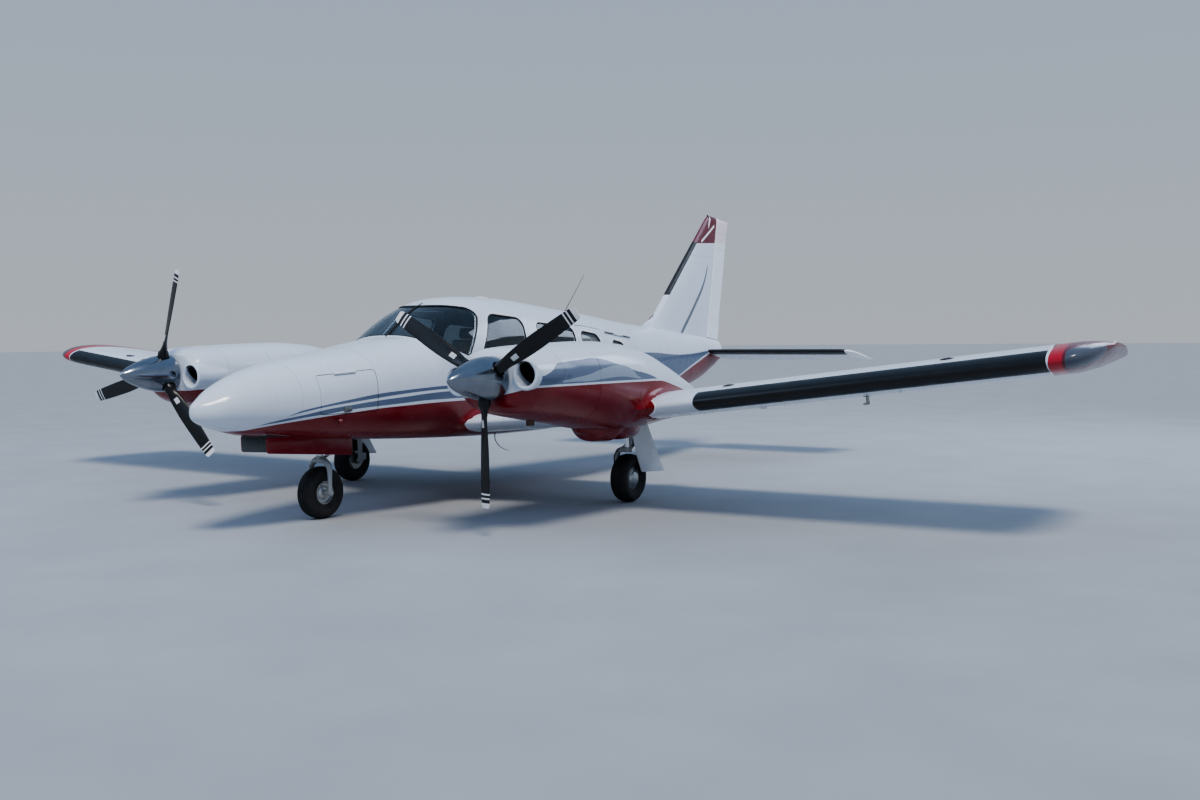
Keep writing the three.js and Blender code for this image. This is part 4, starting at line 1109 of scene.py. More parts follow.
def nacelle_pattern(material, x, y, z):
    out = node(material, "Math", {0: x}, operation="ABSOLUTE")
    across = node(material, "Math", {0: out, 1: NACELLE_X * MM}, operation="SUBTRACT")
    inward = node(material, "MapRange", {0: across, 1: 0.30, 2: -0.05, 3: 0.0, 4: -0.075})
    ahead = node(material, "MapRange", {0: y, 1: -2.9, 2: -2.6, 3: 1.0, 4: 0.35})
    drop = node(material, "Math", {0: inward, 1: ahead}, operation="MULTIPLY")
    level = node(material, "Math", {0: line_over(material, y, NACELLE_RED), 1: drop},
                 operation="ADD")
    above_level = node(material, "Math", {0: level, 1: 0.016}, operation="ADD")
    outboard = beyond(material, across, 0.0)
    swoosh = both(material, band(material, z, above_level, line_over(material, y, SWOOSH_TOP)),
                  band(material, y, -3.07, -1.34))
    arc = both(material, band(material, z, line_over(material, y, ARC_LOW), line_over(material, y, ARC_TOP)),
               band(material, y, -2.79, -1.68))
    colour = over(material, both(material, swoosh, outboard), WHITE, GREY)
    colour = over(material, both(material, arc, outboard), colour, "93A1B4")
    return over(material, beyond(material, level, z), colour, RED)


nacelle_paint = enamel("polyurethane enamel, nacelle", nacelle_pattern,
                       rivets=[("y", "z", [-2860, -2325, -2275, -1720])], seams=[("y", [-2783, -1690])],
                       rib_mm=220)
dark_baffle = rubber("silicone baffle rubber, dark", "1B1C1E", 0.8)

cowl_piece = add_piece("cowl", nacelle_sheet(0, COWL_PATH - JOINT, 64, caps=False), nacelle_paint,
                       dark_baffle)
walled(cowl_piece, 8, even=False)
for dx, inlet_z in INLETS:
    x = NACELLE_X + dx
    carve_rod(cowl_piece, (x, -3200, inlet_z), (x, -3020, inlet_z), INLET_INNER + 4, 48)
both_sides(cowl_piece, "airframe", "white_paint", "cowl_SIDE")

nacelle_piece = add_piece("nacelle", nacelle_sheet(COWL_PATH + 2, NACELLE[-1][0], 84), nacelle_paint)


def over_flap(along, around):
    span = 1350 + 950 * along
    point = wing_point(span, around, first=0.735, extra=0.021)
    if around > 0.5:
        point.z -= 160
    return PANEL @ (point * MM)


carve(nacelle_piece, add_piece("flap_room", rolled_sheet(4, 32, over_flap)))
both_sides(nacelle_piece, "airframe", "white_paint", "nacelle_SIDE")
print("nacelle faces", len(nacelle_piece.data.polygons))


# %% [markdown]
# ## The inlets and the blister
# The lips of the inlets are turned rings with a round front edge. The oval blister under each nacelle
# covers the retracting gear's side brace.

# %% The inlets and the blister
def lip_profile():
    round_radius = (INLET_OUTER + 4 - INLET_INNER) / 2
    middle = INLET_INNER + round_radius
    nose = [(middle + round_radius * math.cos(a), INLET_FRONT + round_radius - round_radius * math.sin(a))
            for a in (math.pi * k / 12 for k in range(13))]
    return [(INLET_OUTER + 1, -3070), *nose, (INLET_INNER, -2952), (INLET_INNER - 3, -2952)]


def inlet_lips_and_shade(material, x, y, z):
    """White lips, and painted shade in each hole, black from the lip at the top and farther back lower down.
    """
    colour = WHITE
    for dx, inlet_z in INLETS:
        radius, above = from_axis(material, x, z, NACELLE_X + dx, inlet_z)
        depth = node(material, "Math", {0: y, 1: above}, operation="ADD")
        inside = both(material, beyond(material, 0.099, radius), beyond(material, depth, -3.058, 20))
        colour = over(material, inside, colour, "141517")
    return colour


inlet_paint = enamel("polyurethane enamel, inlet lip, painted shade inside", inlet_lips_and_shade)
lips = bmesh.new()
for dx, inlet_z in INLETS:
    lathe(lips, lip_profile(), (NACELLE_X + dx, 0, inlet_z), "Y", 64)
lips_piece = add_piece("inlet_lips", tidy_normals(lips), inlet_paint)
both_sides(lips_piece, "airframe", "white_paint")

BLISTER = [[-1905, 20, 720], [-1875, 70, 691], [-1801, 140, 661], [-1708, 180, 602], [-1489, 186, 587],
           [-1480, 180, 607], [-1416, 176, 613], [-1309, 170, 588], [-1214, 162, 586], [-1060, 120, 594],
           [-1010, 60, 700]]


def blister_place(along, around):
    y = BLISTER[0][0] + (BLISTER[-1][0] - BLISTER[0][0]) * along
    half, bottom = between(BLISTER, y)
    return oval(NACELLE_X - 60, y, (half, 800, bottom, 760, 2.2, 2.2), around) * MM


blister_piece = add_piece("gear_blister", rolled_sheet(100, 40, blister_place), nacelle_paint)
both_sides(blister_piece, "airframe", "white_paint")
print("inlets and blister on both sides")


# %% [markdown]
# ## The propellers
# A blade is a sheet rolled along its length, its root round and its tip thin, turned into its pitch. The
# blades are painted satin black with white tip bands, and each carries a small blank label. The long
# spinner is spun from aluminium and turned bright, so its finish is brushed round its axis.

# %% The propellers
PROP = (NACELLE_X, -3220, 1180)
BLADE_CENTRE = Vector((NACELLE_X, -3210, 1180))
# Radius, chord, thickness, pitch in degrees
BLADE = [[60, 96, 96, 45], [185, 96, 96, 45], [230, 92, 56, 41], [310, 108, 30, 35], [520, 126, 19, 26],
         [750, 116, 13, 20], [925, 100, 8, 17], [955, 74, 4, 16.5]]
SPINNER = [[0, -407], [20, -391], [60, -335], [124, -180], [158, -40], [166, 40], [167, 92], [160, 100],
           [0, 100]]
FIRST_BLADE = {"left": math.pi, "right": -0.287}


def bare_metal(name, code, shade, rough=(0.2, 0.38), streaks_mm=8, stretch=(1, 1, 1)):
    material, place = new_material(name)
    along = node(material, "VectorMath", {0: place, 1: stretch}, operation="MULTIPLY")
    brushed = grain(material, along, streaks_mm, 0.0, 1.0, 4)
    blotches = grain(material, place, 90, 0.0, 0.6, 5)
    colour = over(material, blotches, code, shade)
    worn = node(material, "MapRange", {0: brushed, 3: rough[0], 4: rough[1]})
    return surface(material, Base_Color=colour, Metallic=1.0, Roughness=worn,
                   Normal=bumps(material, brushed, 0.05, 0.25))


def satin_black():
    """Satin black paint with two thin bands and a white tip, by the distance from the shaft."""
    material, place = new_material("satin black blade paint")
    x, z = x_y_z(material, place)[::2]
    radius = from_axis(material, x, z, PROP[0], PROP[2])[0]
    bands = [band(material, radius, low, high) for low, high in ((0.846, 0.858), (0.878, 0.890))]
    white = strongest(material, [*bands, beyond(material, radius, 0.917)])
    colour = over(material, grain(material, place, 70, 0, 0.5), "08090A", "111214")
    colour = over(material, white, colour, "E4E6E8")
    chips = node(material, "Math", {0: grain(material, place, 6, -0.6, 1.0, 6), 1: 0.5},
                 operation="MULTIPLY")
    return surface(material, Base_Color=colour, Roughness=grain(material, place, 40, 0.28, 0.42), IOR=1.5,
                   Normal=bumps(material, chips, 0.1, 0.2))


blade_paint = satin_black()
spun_aluminium = bare_metal("spun aluminium, brushed round", "969CA5", "7C828B", (0.14, 0.26), 3,
                            (0.3, 6, 0.3))
hub_steel = bare_metal("blasted hub steel", "7A7D82", "5E6166", (0.4, 0.6), 5)


def blade_place(angle):
    def place(along, around):
        radius = BLADE[0][0] + (BLADE[-1][0] - BLADE[0][0]) * along
        chord, thick, pitch = between(BLADE, radius)
        turn = math.radians(pitch)
        a = math.tau * around
        u = chord / 2 * math.cos(a)
        v = thick / 2 * math.sin(a) * (1 - 0.35 * share_of(230, 330, radius) * math.cos(a))
        flat = Vector((-u * math.cos(turn) + v * math.sin(turn),
                       -u * math.sin(turn) - v * math.cos(turn), radius))
        at = Matrix.Rotation(angle, 3, "Y") @ flat
        return (at + BLADE_CENTRE) * MM
    return place


def add_to(whole, bm):
    """Moves one bmesh into another."""
    spare = bpy.data.meshes.new("spare")
    bm.to_mesh(spare)
    bm.free()
    whole.from_mesh(spare)
    bpy.data.meshes.remove(spare)


def join_meshes(name, bms, *materials):
    whole = bmesh.new()
    for bm in bms:
        add_to(whole, bm)
    return add_piece(name, whole, *materials)


def label_sheet(angle):
    """A blank label 62 mm long on the front of the blade, laid over its skin."""
    skin = blade_place(angle)
    first, last = [(radius - BLADE[0][0]) / (BLADE[-1][0] - BLADE[0][0]) for radius in (300, 362)]

    def place(along, across):
        edge = min(along, 1 - along, across, 1 - across)
        lift = 0.9 if edge > 0.02 else -0.6
        at = skin(first + (last - first) * along, 0.19 + 0.12 * across)
        return at + Vector((0, -lift, 0)) * MM
    return rolled_sheet(14, 14, place, caps=False)


def printed_film():
    material, place = new_material("label film, blank")
    colour = over(material, grain(material, place, 14, 0, 0.6), "D9DCE0", "B6BABF")
    return surface(material, Base_Color=colour, Roughness=grain(material, place, 9, 0.35, 0.5), IOR=1.5)


label_film = printed_film()


def make_propeller(side):
    angles = [FIRST_BLADE[side] + math.tau * k / 3 for k in range(3)]
    blades = join_meshes("propeller_blades_" + side, [rolled_sheet(72, 36, blade_place(a)) for a in angles],
                         blade_paint)
    body = bmesh.new()
    smooth_profile = [between([[k, *row] for k, row in enumerate(SPINNER)], step / 8)
                      for step in range(8 * (len(SPINNER) - 4) + 1)]
    lathe(body, [(max(r, 0.0), d) for r, d in smooth_profile] + SPINNER[-3:], PROP, "Y", 96)
    spinner = add_piece("spinner_shell_" + side, tidy_normals(body), spun_aluminium)
    for a in angles:
        way = Matrix.Rotation(a, 3, "Y") @ Vector((0, 0, 1))
        carve_rod(spinner, BLADE_CENTRE + way * 70, BLADE_CENTRE + way * 300, 57, 40)
    hub = rod_piece("propeller_hub_" + side, hub_steel,
                    ((PROP[0], PROP[1] - 60, PROP[2]), (PROP[0], -3108, PROP[2]), 80, 40))
    labels = join_meshes("blade_labels_" + side, [label_sheet(a) for a in angles], label_film)
    for piece, slot, nodes in ((blades, "black_blade", ["propeller_" + side]),
                               (spinner, "polished_metal", ["spinner_" + side]),
                               (hub, "gear_metal", []), (labels, "white_paint", [])):
        finish_piece(mirror(piece) if side == "right" else piece, "propeller_" + side, slot, *nodes)


for side in SIDES:
    make_propeller(side)
print("two propellers of three blades")


# %% [markdown]
# ## Fin and rudder
# Fin and rudder share one set of sections. The fin ends in a hollow cove round the hinge line, and the
# rudder's nose is half a circle round the same line. A low fairing runs ahead of the fin's foot.

# %% Fin and rudder
# Height, leading edge, trailing edge, thickness over chord
FIN = [[1380, 2090, 4030, 0.07], [1674, 2345, 4096, 0.075], [2400, 3118, 4244, 0.085],
       [2960, 3718, 4350, 0.09], [3020, 3806, 4360, 0.055]]
RUDDER_BASE, RUDDER_TOP = (3742, 1480), (4045, 3040)
SKIN_PART = 0.86


def rudder_axis(z):
    (y0, z0), (y1, z1) = RUDDER_BASE, RUDDER_TOP
    return y0 + (z - z0) * (y1 - y0) / (z1 - z0)


def fin_half(y, z):
    leading, trailing, share = straight(FIN, z)
    return thickness((y - leading) / (trailing - leading), share) * (trailing - leading)


def closed_top(z):
    """Rounds the top edge of the fin and the rudder over its last 24 mm."""
    return math.sqrt(max(1 - (max(z - 2996, 0) / 24) ** 2, 0.0))


def drooped(y, z):
    """The top edge of the fin and the rudder falls one in ten towards the tail."""
    return z - 0.10 * max(y - 3767, 0) * share_of(2750, 3020, z)


def fin_place(along, around):
    """The fin's skin up to the hinge, with the hollow cove in the last part of the way round."""
    z = FIN[0][0] + (FIN[-1][0] - FIN[0][0]) * along ** 0.97
    leading = straight(FIN, z)[0] + 40 * (1 - closed_top(z))
    hinge, nose = rudder_axis(z), fin_half(rudder_axis(z), z)
    cove = nose + 9
    lip = hinge - math.sqrt(cove ** 2 - nose ** 2) - 4
    side = 1 if around < 0.5 else -1
    share = abs(1 - 2 * around)
    if share > SKIN_PART:
        start = math.acos(min(max((lip - hinge) / cove, -1), 1))
        a = start + (1 - start / math.pi) * math.pi * (share - SKIN_PART) / (1 - SKIN_PART)
        y, half = hinge + cove * math.cos(a), abs(cove * math.sin(a))
    else:
        y = leading + (lip - leading) * (1 - math.cos(math.pi / 2 * share / SKIN_PART))
        half = fin_half(y, z)
    return Vector((side * half * closed_top(z), y, drooped(y, z))) * MM


def rudder_place(along, around):
    """The rudder's skin. Its foot rises where the tail cone is in the way."""
    z = RUDDER_BASE[1] + 6 + (FIN[-1][0] - RUDDER_BASE[1] - 6) * along ** 0.97
    hinge = rudder_axis(z)
    trailing, nose = straight(FIN, z)[1], fin_half(rudder_axis(z), z)
    front = hinge - nose
    share, side = way_round(around)
    y = front + (trailing - front) * share
    half = math.sqrt(max(nose ** 2 - (hinge - y) ** 2, 0)) if y < hinge else fin_half(y, z)
    foot = RUDDER_BASE[1] + 6 - (hull_ring(min(y, TAIL_END - 1))[1] + 14)
    low = z - max(foot, 0) * (1 - share_of(RUDDER_BASE[1] + 6, 1760, z))
    return Vector((side * half * closed_top(z), y, drooped(y, low))) * MM


FIN_LINE = [[2700, 1210], [3005, 1507], [3365, 1850], [3591, 2096], [3698, 2294], [3900, 2850]]
FIN_TOP_EDGE = 2.420


def fin_level(material, y, z):
    """The height of a line that falls 63 mm in each metre towards the nose."""
    lift = node(material, "Math", {0: y, 1: 0.063}, operation="MULTIPLY")
    return node(material, "Math", {0: z, 1: lift}, operation="SUBTRACT")


def tail_pattern(material, x, y, z):
    """White, with one thin dark line up the fin and a red top that carries two white strokes."""
    line = line_over(material, y, FIN_LINE, (2000, 4400), (1200, 3200))
    line_top = node(material, "Math", {0: line, 1: 0.072}, operation="ADD")
    colour = over(material, both(material, band(material, z, line, line_top), band(material, y, 2.96, 3.71)),
                  WHITE, "6A7482")
    colour = over(material, beyond(material, fin_level(material, y, z), FIN_TOP_EDGE), colour, MAROON)
    for (y0, z0), (y1, z1), half in (((3.557, 2.666), (3.917, 2.887), 0.016),
                                     ((3.758, 2.865), (3.832, 2.993), 0.026)):
        slope = (z1 - z0) / (y1 - y0)
        rise = node(material, "Math", {0: y, 1: slope}, operation="MULTIPLY")
        stroke = node(material, "Math", {0: z, 1: rise}, operation="SUBTRACT")
        middle = z0 - slope * y0
        mark = both(material, band(material, stroke, middle - half, middle + half), band(material, y, y0, y1))
        colour = over(material, mark, colour, "F4F6F8")
    return colour


tail_paint = enamel("polyurethane enamel, fin", tail_pattern,
                    rivets=[("z", "y", [1700, 1960, 2230, 2500, 2760])], seams=[("z", [2480])], rib_mm=200)


def rudder_glint_pattern(material, x, y, z):
    """Painted glint: the rudder is pale white, and a little pinker above the fin's red, over red paint."""
    return over(material, beyond(material, fin_level(material, y, z), FIN_TOP_EDGE, 6), "EDF1F6", "E8DCE1")


rudder_paint = enamel("polyurethane enamel, rudder, painted glint", rudder_glint_pattern,
                      rivets=[("z", "y", [1700, 1960, 2230, 2500])], seams=[("z", [2590, 2800])], rib_mm=150)

DORSAL = [[2120, 3, 1596], [2200, 20, 1630], [2320, 36, 1680], [2440, 48, 1728], [2570, 56, 1782]]


def dorsal_place(along, around):
    """The low fairing ahead of the fin's foot."""
    y = DORSAL[0][0] + (DORSAL[-1][0] - DORSAL[0][0]) * along
    half, top = between(DORSAL, y)
    a = math.pi * around
    across = math.copysign(abs(math.cos(a)) ** 1.6, math.cos(a))
    return Vector((half * across, y, 1400 + (top - 1400) * math.sin(a) ** 0.75)) * MM


fin_piece = join_meshes("fin_skin", [rolled_sheet(84, 72, fin_place),
                                     rolled_sheet(40, 32, dorsal_place)], tail_paint)
finish_piece(fin_piece, "airframe", "white_paint", "fin")
rudder_piece = add_piece("rudder_skin", rolled_sheet(84, 48, rudder_place), rudder_paint)
finish_piece(rudder_piece, "rudder", "white_paint", "rudder")
finish_piece(tail_skin, "airframe", "white_paint", "tail_cone")

print("fin faces", len(fin_piece.data.polygons), "and rudder", len(rudder_piece.data.polygons))


# %% [markdown]
# ## The tailplane
# The tailplane is one moving slab with a tab behind it. It is built flat, measured from its hinge, and then
# turned 9 degrees nose up, the angle at which it was parked.

# %% The tailplane
STAB_HINGE = (0, 3690, 1252)
STAB_TURN = Matrix.Translation(Vector(STAB_HINGE) * MM) @ Matrix.Rotation(math.radians(-9), 4, "X")
STAB_CHORD, STAB_AHEAD = 840, 0.27
# Span station, setback and length over the chord, thickness share
STAB = [[168, 0, 1, 0.088], [1900, 0, 1, 0.088], [2000, 0.03, 0.96, 0.078], [2050, 0.11, 0.84, 0.055],
        [2065, 0.20, 0.70, 0.02]]
TAB_HALF, TAB_DEPTH = 1180, 150
STAB_END = (1 - STAB_AHEAD) * STAB_CHORD
TAB_LINE = STAB_END - TAB_DEPTH


def stab_half_depth(span, y):
    back, share, thick = straight(STAB, span)
    return thickness((y / STAB_CHORD + STAB_AHEAD - back) / share, thick) * share * STAB_CHORD


def stab_point(span, around):
    """A point of the tailplane in its flat frame, in mm, measured from its hinge."""
    back, share, thick = straight(STAB, span)
    x, side = way_round(around)
    return Vector((span, (back + x * share - STAB_AHEAD) * STAB_CHORD,
                   side * thickness(x, thick) * share * STAB_CHORD))


def stab_place(along, around):
    span = STAB[0][0] + (STAB[-1][0] - STAB[0][0]) * math.sin(along * math.pi / 2)
    return stab_point(span, around) * MM


def tab_place(along, around):
    span = STAB[0][0] + (TAB_HALF - 4 - STAB[0][0]) * along
    nose = stab_half_depth(span, TAB_LINE + 10)
    front = TAB_LINE + 3
    share, side = way_round(around)
    y = front + (STAB_END - front) * share
    round_part = math.sqrt(max(1 - (max(front + nose - y, 0) / nose) ** 2, 0))
    return Vector((span, y, side * stab_half_depth(span, y) * round_part)) * MM


def stab_pattern(material, x, y, z):
    out = node(material, "Math", {0: x}, operation="ABSOLUTE")
    return over(material, beyond(material, out, 1.985), "DDE3EB", "F2F4F6")


stab_paint = enamel("polyurethane enamel, tailplane", stab_pattern,
                    rivets=[("y", "x", [3640, 4080]),
                            ("x", "y", [side * rib for side in (1, -1) for rib in (600, 1200, 1700)])],
                    rib_mm=180)
stab_piece = add_piece("stabilator", rolled_sheet(60, 72, stab_place), stab_paint)
carve_box(stab_piece, (500, TAB_LINE + 300, 0), (2 * TAB_HALF - 1000, 600, 200))
stab_piece.data.transform(STAB_TURN)
both_sides(stab_piece, "stabilator", "white_paint", "stabilator")
tab_piece = add_piece("stabilator_tab", rolled_sheet(24, 40, tab_place), stab_paint)
tab_piece.data.transform(STAB_TURN)
both_sides(tab_piece, "stabilator", "white_paint", "stabilator_tab")
spar = rod_piece("stabilator_tube", hub_steel, ((-190, *STAB_HINGE[1:]), (190, *STAB_HINGE[1:]), 30, 40))
finish_piece(spar, "stabilator", "gear_metal")
print("tailplane faces", len(stab_piece.data.polygons))


# %% [markdown]
# ## The nose and the door leaves
# The two nose skins and the three leaves cut from the hull were shaped further up. Each goes to its body
# here.

# %% The nose and the door leaves
finish_piece(nose_cone, "airframe", "white_paint", "nose_cone")
finish_piece(nose_skin, "airframe", "white_paint", "nose_section")
for leaf, body in ((front_leaf, "front_door"), (rear_leaf, "rear_door"), (cargo_leaf, "cargo_door")):
    finish_piece(leaf, body, "white_paint", body)
print("nose faces", len(nose_skin.data.polygons), "and front leaf", len(front_leaf.data.polygons))


# %% [markdown]
# ## Glass, seals and frames
# The panes are cut from a thin shell that lies 5 mm under the hull's skin. A black rubber seal fills the
# edge of each pane, and a raised white frame goes round each side window. Pale sheets lie behind the rear
# panes, a painted reflection that makes them look bright. The windshield has a wide black gasket and a
# strip up its middle, where its two halves meet.

# %% Glass, seals and frames
trim_paint = enamel("polyurethane enamel, window frames", mottled(300, 0.2, "E9EDF2", "D9DFE8"), rib_mm=120)


def skin_parts(name, outlines, grow, wall, material, holes=()):
    """Parts of a thin shell of the hull, inside the outlines and outside the holes."""
    stations = [point[0] for outline, side, rounded in outlines for point in outline]
    y0, y1 = min(stations) - 20, max(stations) + 20
    shell = hull_shell(name, max(y0, NOSE_END), y1, max(int((y1 - y0) / 18), 8), wall, grow, material,
                       material, True)
    tool = prism_piece("parts_tool", [(outline, *side, rounded) for outline, side, rounded in outlines])
    carve(shell, tool, "INTERSECT")
    return cut_openings(shell, holes) if holes else shell


def glaze(label, body, windows, nodes, with_windshield=False):
    """The panes, seals and frames that one body carries."""
    def rims(by, extra):
        """Every window's outline moved outwards, and the windshield's by its own measure."""
        shield = [windshield_outline(extra)] if with_windshield and extra is not None else []
        return [window(which, side, by) for which, side in windows] + shield

    glass = skin_parts(label + "_glass", rims(-1, -1), -5, 8, acrylic)
    glass.visible_shadow = False
    finish_piece(glass, body, "window", *nodes)
    # Pale sheets behind the third and fourth windows: a painted reflection that makes those panes look
    # bright.
    reflection_sheets = [window(which, side, -3) for which, side in windows if which in ("third", "fourth")]
    if reflection_sheets:
        finish_piece(skin_parts(label + "_shades", reflection_sheets, -26, 2, headliner), body, "cabin_trim")
    seals = skin_parts(label + "_seals", rims(1, 3), 1.2, 8, seal_rubber, rims(-9, -7))
    finish_piece(seals, body, "tyre")
    frames = skin_parts(label + "_frames", rims(17, None), 1.6, 3, trim_paint, rims(1, None))
    finish_piece(frames, body, "white_paint")


glaze("cabin", "airframe",
      [("first", PORT), ("second", PORT), ("second", STARBOARD), ("third", STARBOARD), ("fourth", STARBOARD)],
      ["windshield", "window_left_front", "window_left_mid", "window_right_mid", "window_right_rear",
       "window_right_aft"], True)
glaze("front_door", "front_door", [("first", STARBOARD)], ["front_door_window"])
glaze("rear_door", "rear_door", [("third", PORT)], ["rear_door_window"])
glaze("cargo_door", "cargo_door", [("fourth", PORT)], ["cargo_door_window"])

post = hull_shell("windshield_post", NOSE_END, -1770, 40, 14, 3, seal_rubber, seal_rubber, True)
finish_piece(carve_box(post, (0, -2000, 1620), (18, 900, 500), operation="INTERSECT"), "airframe",
             "white_paint")
print("glass in four bodies")


# %% [markdown]
# ## Hinges and handles
# Every door hangs on three knuckles that stand just outside the skin: the outer two belong to the body
# and the middle one to the door. The pin's round heads close both ends. Each door has a flush handle.

# %% Hinges and handles
plated_steel = bare_metal("zinc plated steel", "A8A9A6", "8B8C88", (0.28, 0.45), 4)
HINGE_RADIUS, HINGE_LENGTH = 9, 64
# Body: a point of the hinge line in mm, its direction, the middle knuckle's place on it, the hull's side
# there, and the way from the line to the door
HINGES = {
    "nose_door": ((352.19, -3453.47, 1192.25), (0.20755, 0.97565, 0.07096), 275, (1, 0, 0), (0, 0, -1)),
    "front_door": ((-630.2, -1762.5, 960), (0, 0, 1), 135, (-1, 0, 0), (0, 1, 0)),
    "rear_door": ((637.44, -95.5, 959.88), (0.00863, 0, 0.99996), 140, (1, 0, 0), (0, 1, 0)),
    "cargo_door": ((534.25, 471.25, 1527.37), (-0.08692, 0.99111, -0.10074), 305, (1, 0, 0), (0, 0, -1)),
}


def knuckle(bm, start, along, out, to_door, s0, s1, sign):
    """A knuckle from s0 to s1 on the hinge line, with a leaf on the door's side (1) or the other (-1)."""
    cylinder(bm, start + along * s0, start + along * s1, HINGE_RADIUS, 24)
    leaf_centre = start + out * -16 + to_door * (sign * 7) + along * ((s0 + s1) / 2)
    box(bm, leaf_centre, (30, 6, s1 - s0 - 1), 1.5, 2, aligned(out, to_door, along))


for body, (start, along, middle, side, door_way) in HINGES.items():
    start, along, side, door_way = (Vector(v) for v in (start, along, side, door_way))
    along.normalize()
    out = (side - along * side.dot(along)).normalized()
    to_door = along.cross(out)
    to_door = to_door if to_door.dot(door_way) > 0 else -to_door
    half = HINGE_LENGTH / 2
    fixed, moving = bmesh.new(), bmesh.new()
    for s0 in (middle - 3 * half - 0.5, middle + half + 0.5):
        knuckle(fixed, start, along, out, to_door, s0, s0 + HINGE_LENGTH, -1)
    for end in (middle - 3 * half - 3, middle + 3 * half + 3):
        bmesh.ops.create_uvsphere(fixed, u_segments=16, v_segments=10, radius=6 * MM,
                                  matrix=Matrix.Translation((start + along * end) * MM))
    knuckle(moving, start, along, out, to_door, middle - half, middle + half, 1)
    finish_piece(add_piece(body + "_knuckles", fixed, trim_paint), "airframe", "white_paint")
    finish_piece(add_piece(body + "_moving_knuckle", moving, trim_paint), body, "white_paint")

# Body, station, height, side of the hull
HANDLES = [("front_door", -985, 1180, -1), ("rear_door", 352, 1120, 1), ("cargo_door", 775, 915, 1),
           ("nose_door", -3170, 918, 1)]


def flush_handle(name, y, z, side):
    """A recessed plate with a paddle that lies level with the skin."""
    half = hull_half_width(y, z)
    lean = math.atan2(hull_half_width(y, z - 30) - hull_half_width(y, z + 30), 60)
    bm = bmesh.new()
    turn = Matrix.Rotation(-side * lean, 4, "Y")
    for depth, size, dy in ((-2, (7, 118, 44), 0), (1.5, (8, 74, 24), -14)):
        box(bm, (side * (half + depth), y + dy, z), size, 2.5, 3, turn)
    cylinder(bm, (side * (half - 4), y + 42, z), (side * (half + 4), y + 42, z), 9, 24)
    return add_piece(name, bm, plated_steel)


for body, y, z, side in HANDLES:
    finish_piece(flush_handle(body + "_handle", y, z, side), body, "gear_metal")
print("hinges", len(HINGES), "handles", len(HANDLES))


# %% [markdown]
# ## The nose from inside
# Behind the skins the nose is filled but for two rooms: the baggage bay with its floor, and the well that
# the nose wheel folds into. The well is primed in pale green-grey zinc primer, as bare aluminium is.

# %% The nose from inside
NOSE_WELL = (0, -3310, 640), (272, 940, 380)
BAGGAGE = (0, -3175, 1280), (1200, 640, 840)


def primer():
    material, place = new_material("zinc primer, grey green")
    colour = over(material, grain(material, place, 130, 0, 1, 5), "9CA38E", "858C79")
    grime = over(material, grain(material, place, 45, 0, 0.35, 6), colour, "4A463E")
    return surface(material, Base_Color=grime, Roughness=0.6, IOR=1.5,
                   Normal=bumps(material, grain(material, place, 4, 0, 1), 0.1, 0.3))


zinc_primer = primer()


def fill_place(along, around):
    return hull_point(-4325 + (NOSE_END - 4 + 4325) * along ** 1.5, around, -WALL - 1) * MM


nose_fill = add_piece("nose_inside", rolled_sheet(60, 64, fill_place), zinc_primer)
carve_box(nose_fill, *NOSE_WELL, 25, 3)
carve_box(nose_fill, *BAGGAGE)
for skin in (nose_cone, nose_skin):
    carve_box(skin, *NOSE_WELL)
cut_openings(nose_skin, [(NOSE_DOOR, PORT, 30)])
finish_piece(nose_fill, "airframe", "gear_metal")

nose_leaf = hull_shell("nose_door_leaf", -3470, -2880, 40)
carve(nose_leaf, prism_piece("leaf_tool", [(grown(NOSE_DOOR, -DOOR_GAP), *PORT, 26)]), "INTERSECT")
hinge_start, hinge_along = Vector(HINGES["nose_door"][0]), Vector(HINGES["nose_door"][1])
trimmed = bmesh.new()
trimmed.from_mesh(nose_leaf.data)
edge_point = Vector((hinge_start.x, -3450 + DOOR_GAP, hinge_start.z)) * MM
bmesh.ops.bisect_plane(trimmed, geom=trimmed.verts[:] + trimmed.edges[:] + trimmed.faces[:],
                       plane_co=edge_point, plane_no=hinge_along, clear_inner=True)
bmesh.ops.holes_fill(trimmed, edges=[edge for edge in trimmed.edges if edge.is_boundary], sides=0)
trimmed.to_mesh(nose_leaf.data)
trimmed.free()
finish_piece(nose_leaf, "nose_door", "white_paint", "nose_door")
print("nose fill", len(nose_fill.data.polygons), "faces")


# %% [markdown]
# ## Ice boots
# Black rubber boots are glued along the leading edges of the wings, the tailplane and the fin. They are
# 3 mm thick strips that follow the skin, with shallow ridges where their air tubes run.

# %% Ice boots
def boot_rubber():
    material, place = new_material("ice boot rubber")
    chalk = over(material, grain(material, place, 260, 0, 0.5, 6), "08090B", "191A1D")
    pores = bumps(material, grain(material, place, 3, 0, 1), 0.1, 0.3)
    return surface(material, Base_Color=chalk, Roughness=grain(material, place, 120, 0.28, 0.44), IOR=1.5,
                   Normal=pores)


boot_black = boot_rubber()


def boot(name, point, start, end, share, rows, tubes=5, matrix=None, turn=1):
    """A strip along the nose of a sheet: point(span, around) is the skin, its nose at around = a half."""
    def place(along, across):
        span = start + (end - start) * along
        around = 0.5 + (across - 0.5) * 2 * (share(span) if callable(share) else share)
        ahead, behind = point(span, around - 0.004), point(span, around + 0.004)
        outboard = point(span + 3, around) - point(span - 3, around)
        outward = (behind - ahead).cross(outboard).normalized() * turn
        swell = 1.6 + 0.8 * abs(math.sin(math.pi * across * tubes))
        fade = min(across, 1 - across, along * 8, (1 - along) * 8, 0.04) / 0.04
        return (point(span, around) + outward * swell * fade) * MM
    piece = add_piece(name, rolled_sheet(rows, 40, place, caps=False), boot_black)
    piece.data.transform(matrix or Matrix())
    return piece


